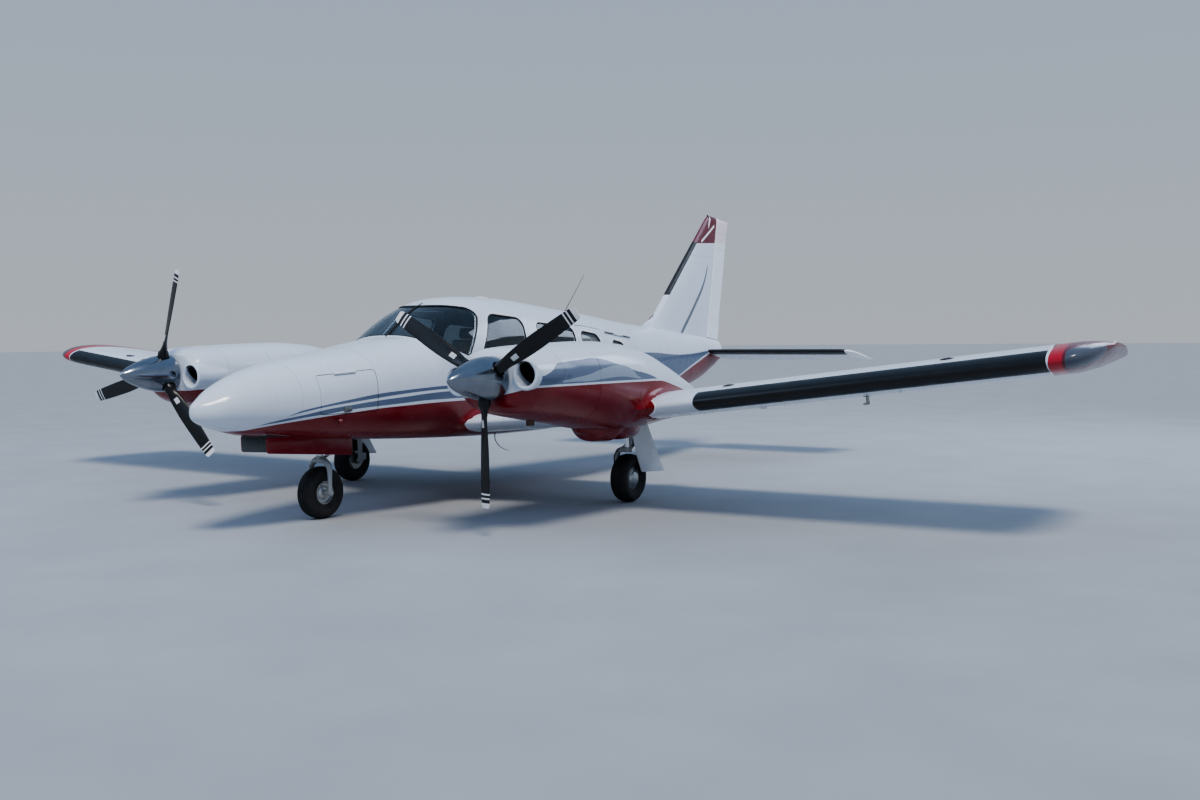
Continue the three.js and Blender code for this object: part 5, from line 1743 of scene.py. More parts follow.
def fin_point(span, around):
    leading, trailing, share = straight(FIN, span)
    x, side = way_round(around)
    return Vector((side * thickness(x, share) * (trailing - leading),
                   leading + x * (trailing - leading), span))


def fin_boot_share(z):
    """The boot reaches 72 mm back from the leading edge at every height."""
    leading, trailing = straight(FIN, z)[:2]
    return math.asin(math.sqrt(72 / (trailing - leading))) / math.pi


wing_boot = boot("wing_boot", wing_point, 2740, 5490, 0.088, 70, matrix=PANEL)
both_sides(wing_boot, "airframe", "tyre")
stab_boot = boot("tailplane_boot", stab_point, 172, 1975, 0.12, 50, 3, STAB_TURN)
both_sides(stab_boot, "stabilator", "tyre")
finish_piece(boot("fin_boot", fin_point, 1974, 2654, fin_boot_share, 40, 3, turn=-1), "airframe", "tyre")
print("ice boots on five leading edges")


# %% [markdown]
# ## Helpers for the landing gear
# Tubes follow a soft curve through a few points, links are flat forged bars with rounded edges, and plates
# are prisms whose edges are eased.

# %% Helpers for the landing gear
def soft_curve(points, share):
    """A point on a soft curve through the given points."""
    spans = len(points) - 1
    k = min(int(share * spans), spans - 1)
    t = share * spans - k
    p = [Vector(points[min(max(k + i, 0), spans)]) for i in (-1, 0, 1, 2)]
    return 0.5 * (2 * p[1] + (p[2] - p[0]) * t + (2 * p[0] - 5 * p[1] + 4 * p[2] - p[3]) * t ** 2
                  + (3 * p[1] - p[0] - 3 * p[2] + p[3]) * t ** 3)


def tube(points, radius, rows=24, columns=16, squash=1.0, upright=(0, 1, 0)):
    """A tube in mm along a soft curve. radius is a number, or a function of the share along it."""
    upright = Vector(upright)

    def place(along, around):
        centre, before = soft_curve(points, along), soft_curve(points, max(along - 0.01, 0))
        ahead = (soft_curve(points, min(along + 0.01, 1)) - before).normalized()
        across = ahead.cross(upright).normalized()
        up = across.cross(ahead)
        r = radius(along) if callable(radius) else radius
        a = math.tau * around
        return (centre + across * r * math.cos(a) + up * r * squash * math.sin(a)) * MM
    return rolled_sheet(rows, columns, place)


def link(bm, start, end, width, thick, rounded=4):
    """A flat bar between two points, its width along X."""
    start, end = Vector(start), Vector(end)
    ahead = (end - start).normalized()
    across = Vector((1, 0, 0))
    deep = ahead.cross(across).normalized()
    box(bm, (start + end) / 2, (width, thick, (end - start).length), rounded, 3,
        aligned(across, deep, ahead))


def eased_plate(name, outline, x0, x1, rounded, ease, *materials):
    """A plate with its outline in the side view. The rims of its two large faces are eased."""
    bm = bmesh.new()
    side_prism(bm, outline, x0, x1, rounded)
    rims = []
    for edge in bm.edges:
        large = sum(len(face.verts) > 4 for face in edge.link_faces)
        if large == 1 and all(len(face.verts) > 4 or abs(face.normal.x) < 0.5 for face in edge.link_faces):
            rims.append(edge)
    bmesh.ops.bevel(bm, geom=rims, offset=ease * MM, offset_type="OFFSET", affect="EDGES", segments=2,
                    profile=0.5, material=-1, clamp_overlap=True)
    bmesh.ops.recalc_face_normals(bm, faces=bm.faces)
    return add_piece(name, bm, *materials)


def collar(bm, inner, outer, half, centre):
    """A turned ring round an upright leg, with eased rims."""
    lathe(bm, [(inner, -half), (outer - 2, -half), (outer, 2 - half), (outer, half - 2), (outer - 2, half),
               (inner, half), (inner, -half)], centre, "Z", 40)


def bolt_ring(bm, centre, radius, count, size, depth, axis=(1, 0, 0)):
    """Hexagonal bolt heads round an axis."""
    axis = Vector(axis)
    across = axis.orthogonal().normalized()
    for k in range(count):
        way = Matrix.Rotation(math.tau * k / count, 3, axis) @ across
        at = Vector(centre) + way * radius
        cylinder(bm, at, at + axis * depth, size, 6)


print("gear helpers ready")


# %% [markdown]
# ## Wheels and tyres
# The tyres are 430 mm high aircraft tyres with four round grooves. Their outline is one profile, spun
# round the axle. The rims are cast aluminium halves, bolted together, with a domed cap on the main wheels.

# %% Wheels and tyres
NOSE_Y, LEG_X, LEG_Y = -3075, 1690, -960
TYRE_RADIUS, TYRE_HALF, RIM_RADIUS, RIM_HALF = 215, 79, 93, 52
AXLE_Z = TYRE_RADIUS
GROOVES = (-38, -14, 14, 38)


def tyre_profile():
    side = [(RIM_RADIUS + 1, RIM_HALF - 4), (RIM_RADIUS + 6, RIM_HALF + 4), (112, 62), (124, 66),
            (130, 68), (136, 71), (139, 70.5), (150, 76), (163, TYRE_HALF), (178, 77), (182, 77.5),
            (186, 74), (197, 65)]
    crown = []
    x = 54.0
    while x >= 0:
        r = TYRE_RADIUS - 9 * (x / 54) ** 2.2
        groove = any(abs(x - g) < 3.4 for g in GROOVES)
        crown.append((r - 6 if groove else r, x))
        x -= 1.5 if any(abs(x - g) < 5.5 for g in GROOVES) else 4
    half = side + crown
    return half + [(r, -x) for r, x in reversed(half)] + half[:1]


def rim_profile():
    half = [(RIM_RADIUS - 1, RIM_HALF - 6), (RIM_RADIUS + 2, RIM_HALF - 3), (RIM_RADIUS + 2, RIM_HALF),
            (RIM_RADIUS - 4, RIM_HALF + 1), (86, 44), (81, 34), (70, 28), (52, 30), (42, 40), (34, 44),
            (22, 44)]
    return half + [(r, -d) for r, d in reversed(half)] + half[:1]


def tyre_rubber():
    material, place = new_material("tyre rubber, worn")
    dusty = over(material, grain(material, place, 55, 0, 0.55, 6), "16171A", "2E2C2A")
    scuffs = bumps(material, grain(material, place, 6, 0, 1, 5), 0.4, 0.35)
    return surface(material, Base_Color=dusty, Roughness=grain(material, place, 40, 0.62, 0.85), IOR=1.52,
                   Normal=scuffs)


tyre_black = tyre_rubber()
cast_aluminium = bare_metal("cast aluminium wheel", "C3C5C6", "9FA2A4", (0.26, 0.45), 5)


def make_wheel(body, label, x, y, cap_side):
    """A tyre and its rim. Only a main wheel has a cap, on the side that faces outboard."""
    centre = (x, y, AXLE_Z)
    rubber_bm = bmesh.new()
    lathe(rubber_bm, tyre_profile(), centre, "X", 112)
    tyre = add_piece(label + "_tyre_rubber", tidy_normals(rubber_bm), tyre_black, smooth=32)
    metal = bmesh.new()
    lathe(metal, rim_profile(), centre, "X", 96)
    tidy_normals(metal)
    for side in (-1, 1):
        bolt_ring(metal, (x + side * 28, y, AXLE_Z), 61, 6, 5, side * 8)
    if cap_side:
        dome = [(0, 84), (28, 82), (50, 76), (62, 68), (68, 60), (72, 57), (79, 56), (79, 50), (60, 46),
                (0, 46)]
        cap = bmesh.new()
        lathe(cap, [(r, d * cap_side) for r, d in dome], centre, "X", 64)
        add_to(metal, tidy_normals(cap))
        bolt_ring(metal, (x + cap_side * 56, y, AXLE_Z), 75, 3, 3, cap_side * 3)
    valve = Vector((x + (cap_side or 1) * 40, y + 52, AXLE_Z + 66))
    cylinder(metal, valve, valve + Vector(((cap_side or 1) * 16, 4, 4)), 4, 12)
    rim = add_piece(label + "_rim_metal", metal, cast_aluminium)
    finish_piece(tyre, body, "tyre", label + "_tyre")
    finish_piece(rim, body, "polished_metal", label + "_rim")


make_wheel("nose_wheel", "nose", 0, NOSE_Y, 0)
for side, sign in SIDES.items():
    make_wheel("main_wheel_" + side, "main_" + side, sign * LEG_X, LEG_Y, sign)
print("three wheels, tyres", 2 * TYRE_RADIUS, "mm high")


# %% [markdown]
# ## The nose leg
# The outer cylinder and its drag brace stay with the airframe. The chromed piston, the forked yoke, the
# axle and the lower scissor turn with the steering.

# %% The nose leg
gear_enamel = enamel("gloss enamel, gear grey", mottled(80, 0.5, "A6ABB0", "8B9096"), rib_mm=60)
hard_chrome = bare_metal("hard chrome piston", "D9DBDD", "C6C9CC", (0.05, 0.12), 20)
sleeved_line = rubber("steel line in black sleeving", "15161A", 0.5)

nose_strut = tube([(0, NOSE_Y, 556), (0, NOSE_Y, 828)], 40, 8, 40)
extras = bmesh.new()
for z, radius in ((560, 45), (584, 43), (690, 46), (720, 44)):
    collar(extras, 38, radius, 7, (0, NOSE_Y, z))
tidy_normals(extras)
link(extras, (0, NOSE_Y + 24, 604), (0, -2962, 798), 42, 22, 6)
link(extras, (0, NOSE_Y + 34, 590), (0, NOSE_Y + 52, 574), 44, 20, 5)
box(extras, (0, NOSE_Y, 740), (262, 50, 40), 8, 3)
for side in (-1, 1):
    cylinder(extras, (side * 112, NOSE_Y, 740), (side * 131, NOSE_Y, 740), 27, 32)
nose_leg_piece = join_meshes("nose_leg_metal", [nose_strut, extras], gear_enamel)
finish_piece(nose_leg_piece, "airframe", "gear_metal", "nose_leg")

yoke = []
for side in (-1, 1):
    yoke.append(tube([(side * 12, NOSE_Y, 492), (side * 56, NOSE_Y, 476), (side * 98, NOSE_Y, 436),
                      (side * 108, NOSE_Y, 380), (side * 109, NOSE_Y, 300), (side * 108, NOSE_Y, 222)],
                     lambda t: 24 - 9 * share_of(0.1, 0.9, t), 40, 24, 1.35, (0, 1, 0)))
fittings = bmesh.new()
cylinder(fittings, (0, NOSE_Y, 462), (0, NOSE_Y, 520), 33, 40)
box(fittings, (0, NOSE_Y, 478), (96, 66, 36), 12, 4)
for side in (-1, 1):
    cylinder(fittings, (side * 90, NOSE_Y, AXLE_Z), (side * 124, NOSE_Y, AXLE_Z), 25, 32)
    cylinder(fittings, (side * 124, NOSE_Y, AXLE_Z), (side * 131, NOSE_Y, AXLE_Z), 19, 6)
cylinder(fittings, (-134, NOSE_Y, AXLE_Z), (134, NOSE_Y, AXLE_Z), 12, 24)
yoke.append(fittings)
finish_piece(join_meshes("nose_yoke", yoke, gear_enamel), "nose_fork", "gear_metal", "nose_fork")
axle = bmesh.new()
cylinder(axle, (-96, NOSE_Y, AXLE_Z), (96, NOSE_Y, AXLE_Z), 20, 32)
cylinder(axle, (0, NOSE_Y, 500), (0, NOSE_Y, 780), 24, 40)
link(axle, (0, NOSE_Y + 30, 486), (0, NOSE_Y + 96, 520), 34, 14, 4)
link(axle, (0, NOSE_Y + 96, 520), (0, NOSE_Y + 54, 570), 30, 12, 4)
cylinder(axle, (-24, NOSE_Y + 96, 520), (24, NOSE_Y + 96, 520), 9, 24)
finish_piece(add_piece("nose_piston", axle, hard_chrome), "nose_fork", "polished_metal")

NOSE_DOOR_PLATE = [[-3778, 730], [-2845, 674], [-2845, 512], [-3772, 600]]


def gear_door_pattern(material, x, y, z):
    out = node(material, "Math", {0: x}, operation="ABSOLUTE")
    return over(material, beyond(material, out, 0.1385, 0.5), "6E7478", RED)


gear_door_paint = enamel("polyurethane enamel, gear door", gear_door_pattern, rib_mm=150)
nose_plate = eased_plate("nose_gear_door", NOSE_DOOR_PLATE, 138, 146, 22, 2.0, gear_door_paint)
both_sides(nose_plate, "airframe", "red_paint", "nose_gear_door_SIDE")
nose_pan = eased_plate("nose_gear_door_pan", grown(NOSE_DOOR_PLATE, -24), 133, 139, 18, 2.5, gear_door_paint)
both_sides(nose_pan, "airframe", "gear_metal")
door_rod = rod_piece("nose_door_rod", plated_steel, ((40, NOSE_Y - 60, 700), (134, -3200, 610), 7, 20))
both_sides(door_rod, "airframe", "gear_metal")
print("nose leg, yoke and doors")


# %% [markdown]
# ## The main legs
# Each main wheel sits outboard of an arm that hangs from the strut's yoke. A scissor keeps the piston
# from turning, a brake caliper stands on the arm and its formed steel line loops up to the strut. The pale
# gear door rides on the strut.

# %% The main legs
main_parts = [tube([(LEG_X, LEG_Y, 590), (LEG_X, LEG_Y, 900)], 42, 8, 40),
              tube([(LEG_X - 6, LEG_Y, 470), (LEG_X - 62, LEG_Y, 468), (LEG_X - 104, LEG_Y, 448),
                    (LEG_X - 113, LEG_Y, 390), (LEG_X - 113, LEG_Y, 300), (LEG_X - 112, LEG_Y, 214)],
                   lambda t: 25 - 5 * t, 40, 24, 1.3, (0, 1, 0))]
main_fittings = bmesh.new()
for z, radius in ((596, 47), (622, 45), (680, 46)):
    collar(main_fittings, 40, radius, 8, (LEG_X, LEG_Y, z))
tidy_normals(main_fittings)
cylinder(main_fittings, (LEG_X, LEG_Y, 446), (LEG_X, LEG_Y, 492), 34, 40)
cylinder(main_fittings, (LEG_X - 132, LEG_Y, AXLE_Z), (LEG_X - 88, LEG_Y, AXLE_Z), 30, 32)
link(main_fittings, (LEG_X, LEG_Y + 30, 470), (LEG_X, LEG_Y + 94, 506), 36, 14, 4)
link(main_fittings, (LEG_X, LEG_Y + 94, 506), (LEG_X, LEG_Y + 40, 606), 32, 12, 4)
box(main_fittings, (LEG_X - 99, LEG_Y + 66, 250), (24, 62, 74), 7, 3)
link(main_fittings, (LEG_X - 112, LEG_Y, 232), (LEG_X - 112, LEG_Y + 56, 246), 20, 26, 5)
main_parts.append(main_fittings)
both_sides(join_meshes("main_leg_metal", main_parts, gear_enamel), "airframe", "gear_metal",
           "main_leg_SIDE")
piston = rod_piece("main_piston", hard_chrome,
                   ((LEG_X, LEG_Y, 488), (LEG_X, LEG_Y, 600), 27, 40),
                   ((LEG_X - 90, LEG_Y, AXLE_Z), (LEG_X + 34, LEG_Y, AXLE_Z), 20, 32),
                   ((LEG_X - 26, LEG_Y + 94, 506), (LEG_X + 26, LEG_Y + 94, 506), 8, 24))
both_sides(piston, "airframe", "polished_metal")
disc = bmesh.new()
lathe(disc, [(40, -62), (88, -62), (88, -55), (40, -55), (40, -62)], (LEG_X, LEG_Y, AXLE_Z), "X", 64)
both_sides(add_piece("brake_disc", tidy_normals(disc), plated_steel), "main_wheel_SIDE", "gear_metal")
BRAKE_ROUTE = [(-34, 30, 660), (-50, 74, 560), (-78, 66, 500), (-90, -28, 464), (-90, -85, 425),
               (-90, -92, 373), (-96, -66, 300), (-104, -26, 262)]
brake_line = tube([(LEG_X + dx, LEG_Y + dy, z) for dx, dy, z in BRAKE_ROUTE], 6, 72, 12, upright=(1, 0, 0))
both_sides(add_piece("brake_line", brake_line, sleeved_line), "airframe", "tyre")

MAIN_DOOR_PLATE = [[-1116, 730], [-1033, 580], [-950, 380], [-886, 264], [-486, 240], [-812, 730]]
door_white = enamel("polyurethane enamel, main gear door", mottled(200, 0.35, "DADFE4", "B7BDC3"),
                    rib_mm=120)
main_plate = eased_plate("main_gear_door", MAIN_DOOR_PLATE, 1781, 1789, 16, 2.0, door_white)
both_sides(main_plate, "airframe", "white_paint", "main_gear_door_SIDE")
main_pan = eased_plate("main_gear_door_pan", grown(MAIN_DOOR_PLATE, -22), 1776, 1782, 14, 2.5, door_white)
both_sides(main_pan, "airframe", "gear_metal")
stays = rod_piece("main_door_stays", plated_steel,
                  *[((LEG_X + 30, LEG_Y, z), (LEG_X + 92, LEG_Y + 8, z), 8, 20) for z in (610, 690)])
both_sides(stays, "airframe", "gear_metal")
print("main legs on both sides")


# %% [markdown]
# ## The cabin's floor, bulkheads and panel
# The room inside the hull is one closed form. Cutting it with flat boxes gives the carpeted floor, the two
# bulkheads, the instrument panel and the glareshield, each of which then fits the walls exactly.

# %% The cabin's floor, bulkheads and panel
carpet = woven_lining("loop pile carpet, charcoal", "4A4C50", "2F3135", 5.0)
vinyl_black = rubber("padded vinyl, black", "1C1D1F", 0.6)


def room_place(along, around):
    return hull_point(-2257 + (1146 + 2257) * along, around, -WALL - 1, True) * MM


room_form = add_piece("room_form", rolled_sheet(72, 96, room_place))


def fitted(name, centre, size, material):
    piece = copy_piece(room_form, name)
    piece.data.materials.clear()
    piece.data.materials.append(material)
    return carve_box(piece, centre, size, operation="INTERSECT")


def moulded_plastic(name, code, shade):
    material, place = new_material(name)
    colour = over(material, grain(material, place, 150, 0, 0.7), code, shade)
    grained = bumps(material, grain(material, place, 1.5, 0, 1), 0.1, 0.35)
    return surface(material, Base_Color=colour, Roughness=grain(material, place, 60, 0.42, 0.58), IOR=1.49,
                   Normal=grained)


panel_grey = moulded_plastic("moulded plastic, panel grey", "4B4F55", "3D4046")
trim_beige = moulded_plastic("moulded plastic, warm grey", "B7B1A6", "9F998E")
finish_piece(fitted("carpet", (0, -550, 745), (1400, 3420, 30), carpet), "airframe", "cabin_trim",
             "cabin_floor")
for name, y in (("front_bulkhead", -2246), ("rear_bulkhead", 1134)):
    finish_piece(fitted(name, (0, y, 1100), (1400, 24, 1500), trim_beige), "airframe", "cabin_trim")
finish_piece(fitted("panel_board", (0, -1815, 1195), (1160, 60, 330), panel_grey), "airframe", "cabin_trim",
             "instrument_panel")
finish_piece(fitted("glareshield", (0, -1900, 1372), (1160, 300, 26), vinyl_black), "airframe", "cabin_trim")
bpy.data.objects.remove(room_form)
print("cabin room fitted")


# %% [markdown]
# ## Instruments and controls
# Round instruments sit in black bezels on the panel, six before each pilot, with a stack of radios between
# them. The yokes, and the pedestal with its six levers, are within reach of both seats.

# %% Instruments and controls
PANEL_FACE = -1785


def dial_face():
    """A black dial with pale marks, drawn as specks because they are too fine to read in the picture."""
    material, place = new_material("instrument dial, black and white")
    marks = beyond(material, grain(material, place, 7, 0.0, 1.0, 0), 0.78, 90)
    colour = over(material, marks, "0D0E10", "C9CCCF")
    return surface(material, Base_Color=colour, Roughness=grain(material, place, 30, 0.08, 0.14), IOR=1.5)


dial_black = dial_face()
bezels, faces, needles = bmesh.new(), bmesh.new(), bmesh.new()
DIALS = [(side * 275 + dx, z, 38) for side in (1, -1) for dx in (-92, 0, 92) for z in (1300, 1208)]
DIALS += [(side * 275 + dx, 1120, 25) for side in (1, -1) for dx in (-120, -60, 60, 120)]
for x, z, radius in DIALS:
    lathe(bezels, [(radius - 5, 0), (radius - 5, 7), (radius - 2, 9), (radius + 3, 7), (radius + 4, 0),
                   (radius - 5, 0)], (x, PANEL_FACE, z), "Y", 32)
    cylinder(faces, (x, PANEL_FACE - 2, z), (x, PANEL_FACE + 3, z), radius - 4, 32)
    pin, way = Vector((x, PANEL_FACE + 4.5, z)), Vector((math.sin(x * 0.7 + z), 0, math.cos(x * 0.7 + z)))
    cylinder(needles, pin - way * 6, pin + way * (radius - 12), 1.1, 6)
tidy_normals(bezels)
for k in range(6):
    z = 1330 - 44 * k
    box(bezels, (0, PANEL_FACE + 3, z), (164, 12, 40), 3, 2)
    box(faces, (0, PANEL_FACE + 8, z + 4), (108, 6, 18), 1.5, 1)
    for x in (-70, 70):
        cylinder(bezels, (x, PANEL_FACE + 8, z), (x, PANEL_FACE + 20, z), 8, 20)
finish_piece(add_piece("bezels", bezels, vinyl_black), "airframe", "cabin_trim")
finish_piece(add_piece("dials", faces, dial_black), "airframe", "cabin_trim")
finish_piece(add_piece("needles", needles, cast_aluminium), "airframe", "polished_metal")

yokes = []
for x in (-275, 275):
    yokes.append(tube([(x, -1800, 1190), (x, -1700, 1190), (x, -1606, 1190)], 13, 6, 24, upright=(0, 0, 1)))
    half = [(112, -1596, 1262), (118, -1600, 1222), (104, -1602, 1182), (40, -1602, 1172)]
    yokes.append(tube([(x - dx, y, z) for dx, y, z in half] + [(x + dx, y, z) for dx, y, z in half[::-1]],
                      12, 60, 20))
    centre_cap = bmesh.new()
    box(centre_cap, (x, -1602, 1182), (78, 24, 44), 8, 3)
    yokes.append(centre_cap)
finish_piece(join_meshes("yokes", yokes, vinyl_black), "airframe", "cabin_trim")

pedestal = bmesh.new()
box(pedestal, (0, -1748, 898), (196, 180, 274), 14, 3)
box(pedestal, (0, -1742, 1042), (150, 110, 26), 8, 3)
finish_piece(add_piece("pedestal", pedestal, panel_grey), "airframe", "cabin_trim")
for label, code, places in (("black", "151617", (-50, -34)), ("blue", "1D3E78", (-10, 6)),
                            ("red", "8E1A1E", (34, 50))):
    levers = bmesh.new()
    for x in places:
        box(levers, (x, -1730, 1076), (4, 14, 66), 1.5, 1)
        bmesh.ops.create_uvsphere(levers, u_segments=16, v_segments=12, radius=9 * MM,
                                  matrix=Matrix.Translation(Vector((x, -1730, 1112)) * MM))
    knob = moulded_plastic("moulded plastic, lever knob " + label, code, code)
    finish_piece(add_piece("levers_" + label, levers, knob), "airframe", "cabin_trim")
print("dials", len(DIALS))


# %% [markdown]
# ## Padding by simulation
# A pad starts as a slightly small rounded block with even quads. Air pressure inside a Cloth simulation
# swells it over 20 steps, so the middle crowns and the sides pull in between the corners. No point may
# move farther than the cap. Then the sewn channels are pressed in. The three forms are simulated once and
# copied to all six seats.

# %% Padding by simulation
PAD_CELL = 7
STEPS = 20
SEAM_DEPTH = 6.5


def seat_leather():
    material, place = new_material("seat leather, pale grey")
    hide = node(material, "TexVoronoi", {"Vector": place, "Scale": 1 / (3.5 * MM)},
                feature="DISTANCE_TO_EDGE")
    creases = node(material, "MapRange", {0: hide, 1: 0.0, 2: 0.12})
    worn = over(material, grain(material, place, 160, 0, 0.6, 5), "A7A49D", "8B877F")
    colour = over(material, node(material, "Math", {0: 1.0, 1: creases},
                                 operation="SUBTRACT"), worn, "77736C")
    return surface(material, Base_Color=colour, Roughness=grain(material, place, 70, 0.42, 0.6), IOR=1.48,
                   Normal=bumps(material, creases, 0.25, 0.35))


def swell(piece, cap_mm):
    """Cloth under pressure. No point ends farther than the cap from where it began."""
    scene = bpy.context.scene
    start = [vert.co.copy() for vert in piece.data.vertices]
    cloth = piece.modifiers.new("padding", "CLOTH")
    cloth.settings.use_pressure = True
    cloth.settings.uniform_pressure_force = 4.0
    cloth.settings.effector_weights.gravity = 0
    cloth.point_cache.frame_start, cloth.point_cache.frame_end = 1, STEPS
    for step in range(1, STEPS + 1):
        scene.frame_set(step)
    bake(piece)
    scene.frame_set(1)
    for vert, before in zip(piece.data.vertices, start):
        moved = vert.co - before
        if moved.length > cap_mm * MM:
            vert.co = before + moved.normalized() * cap_mm * MM


def padded_form(name, size, corner, cap_mm, channels):
    """A swollen block round the origin, with its sewn channels pressed in."""
    bm = bmesh.new()
    box(bm, (0, 0, 0), size, corner, 5)
    piece = add_piece(name, bm, leather)
    even = piece.modifiers.new("even", "REMESH")
    even.mode, even.voxel_size, even.use_smooth_shade = "VOXEL", PAD_CELL * MM, True
    bake(piece)
    swell(piece, cap_mm)
    mesh = piece.data
    normals = [vert.normal.copy() for vert in mesh.vertices]
    for vert, normal in zip(mesh.vertices, normals):
        depth = 0.0
        for axis, place_mm, facing, low, high in channels:
            if normal[facing[0]] * facing[1] < 0.3:
                continue
            across = vert.co[axis] / MM - place_mm
            along = vert.co[3 - axis - facing[0]] / MM
            ends = share_of(low - 12, low, along) * (1 - share_of(high, high + 12, along))
            depth = max(depth, SEAM_DEPTH * math.exp(-(across / 7) ** 2) * ends)
        vert.co -= normal * depth * MM
    mesh.shade_smooth()
    return piece


leather = seat_leather()
# Each channel: across which axis, where, which way the seam faces, and its ends along the other axis
CUSHION_SEAMS = [(0, -135, (2, 1), -230, 230), (0, 135, (2, 1), -230, 230), (1, -75, (2, 1), -135, 135),
                 (1, 75, (2, 1), -135, 135)]
BACK_SEAMS = [(0, -125, (1, -1), -240, 240), (0, 125, (1, -1), -240, 240), (2, -90, (1, -1), -125, 125),
              (2, 0, (1, -1), -125, 125), (2, 90, (1, -1), -125, 125)]
cushion_form = padded_form("cushion", (404, 454, 96), 30, 8, CUSHION_SEAMS)
back_form = padded_form("back", (394, 76, 452), 26, 8, BACK_SEAMS)
head_form = padded_form("headrest", (226, 58, 108), 22, 6, [])
print("pad faces", [len(form.data.polygons) for form in (cushion_form, back_form, head_form)])


# %% [markdown]
# ## The seats
# Two seats face forward at the front, two face aft in the middle, and two face forward at the rear, so
# the four rear ones form a club. Each stands on a shrouded base on the floor rails, with a shell behind
# its back and two steel posts under its headrest.

# %% The seats
# Row: the back's station, and 1 if it faces aft
SEATS = {"front": (-830, -1), "middle": (-560, 1), "rear": (640, -1)}
RAIL_Z = 768
# The rail and the two posts of a seat's side: start and end ahead of the back, height of the end, radius
SEAT_RODS = ((60, 420, RAIL_Z, 9), (110, 140, 944, 10), (380, 350, 944, 10))


def placed_copy(form, matrix):
    bm = bmesh.new()
    bm.from_mesh(form.data)
    bmesh.ops.transform(bm, matrix=matrix, verts=bm.verts)
    return bm


def at_mm(x, y, z):
    return Matrix.Translation(Vector((x, y, z)) * MM)


for row, (back_y, facing) in SEATS.items():
    turn = Matrix.Rotation(0 if facing < 0 else math.pi, 4, "Z")
    lean = Matrix.Rotation(facing * 0.14, 4, "X")
    pads, frames, posts = [], bmesh.new(), bmesh.new()
    for x in (-245, 245):
        pads.append(placed_copy(cushion_form, at_mm(x, back_y + facing * 240, 1006) @ turn))
        pads.append(placed_copy(back_form, at_mm(x, back_y, 1240) @ lean @ turn))
        pads.append(placed_copy(head_form, at_mm(x, back_y - facing * 38, 1520) @ lean @ turn))
        box(frames, (x, back_y + facing * 236, 948), (380, 420, 22), 8, 3)
        box(frames, (x, back_y + facing * 230, 866), (310, 260, 150), 24, 3)
        box(frames, (x, back_y - facing * 32, 1235), (372, 18, 420), 8, 3, lean)
        for dx in (-150, 150):
            for near, far, high, radius in SEAT_RODS:
                start, end = back_y + facing * near, back_y + facing * far
                cylinder(posts, (x + dx, start, RAIL_Z), (x + dx, end, high), radius, 20)
        for dx in (-48, 48):
            top = Vector((x + dx, back_y - facing * 36, 1500))
            cylinder(posts, top - Vector((0, -facing * 9, 70)), top, 6, 16)
    padding = join_meshes("seat_pads_" + row, pads, leather)
    padding.data.shade_smooth()
    finish_piece(padding, "airframe", "seat_cover", "seats_" + row)
    finish_piece(add_piece("seat_frames_" + row, frames, trim_beige), "airframe", "cabin_trim")
    finish_piece(add_piece("seat_posts_" + row, posts, plated_steel), "airframe", "gear_metal")
for form in (cushion_form, back_form, head_form):
    bpy.data.objects.remove(form)
print("seats", 2 * len(SEATS))


# %% [markdown]
# ## Engines and exhausts
# Of the engines only fins and dark castings show through the inlets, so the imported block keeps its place
# and takes a finned casting finish. The exhaust stub is a hollow pipe, discoloured by heat.

# %% Engines and exhausts
def finned_casting():
    """Cooling fins 12 mm apart, as grooves in the finish. Painted shade darkens the grooves against lighter
    crests.
    """
    material, place = new_material("cast engine block, finned")
    y = x_y_z(material, place)[1]
    teeth = node(material, "Math", {0: y, 1: 6 * MM}, operation="PINGPONG")
    fins = node(material, "MapRange", {0: teeth, 1: 2 * MM, 2: 3 * MM})
    oily_and_shaded = over(material, grain(material, place, 60, 0, 1, 5), "4E4D4A", "2C2B29")
    colour = over(material, fins, oily_and_shaded, "7B7A76")
    return surface(material, Base_Color=colour, Metallic=0.6,
                   Roughness=grain(material, place, 25, 0.5, 0.75), Normal=bumps(material, fins, 4.0, 0.8))


def heat_stained_steel():
    material, place = new_material("stainless exhaust, heat stained")
    z = x_y_z(material, place)[2]
    hot = node(material, "MapRange", {0: z, 1: 0.86, 2: 0.76})
    colour = over(material, hot, "8A7A6C", "4A3F3A")
    sooty = over(material, grain(material, place, 22, 0, 0.7, 5), colour, "2A2725")
    return surface(material, Base_Color=sooty, Metallic=0.9, Roughness=grain(material, place, 18, 0.35, 0.6),
                   Normal=bumps(material, grain(material, place, 9, 0, 1), 0.2, 0.3))


engine_casting = finned_casting()
for side in SIDES:
    engine = bpy.data.objects["engine_" + side]
    for slot in engine.material_slots:
        slot.material = engine_casting
exhaust = bmesh.new()
lathe(exhaust, [(33, 0), (33, 120), (28, 120), (28, 2), (30.5, -1), (33, 0)], (1710, -2475, 786), "Z", 48)
exhaust_piece = add_piece("exhaust_stub", tidy_normals(exhaust), heat_stained_steel())
both_sides(exhaust_piece, "airframe", "gear_metal")
print("engines finished:", *SIDES)


# %% [markdown]
# ## Small parts on the skin
# Antennas, the pitot head, lamps, fuel caps, vents, tie-down rings and static wicks are small, but they
# are what tells an aircraft from a toy. Most stand where the photograph shows them. The lamps at the wing
# tips are a guess.

# %% Small parts on the skin
antenna_black = moulded_plastic("antenna plastic, black", "17181A", "222326")
antenna_white = moulded_plastic("antenna plastic, white", "DADDE0", "C9CDD2")


def lens(name, code):
    material, place = new_material(name)
    ribs = grain(material, place, 6, 0.0, 1.0, 1)
    colour = over(material, grain(material, place, 20, 0, 0.3), code, "FFFFFF")
    return surface(material, Base_Color=colour, Roughness=0.08, IOR=1.5, Transmission_Weight=0.35,
                   Coat_Weight=1.0, Normal=bumps(material, ribs, 0.3, 0.2))


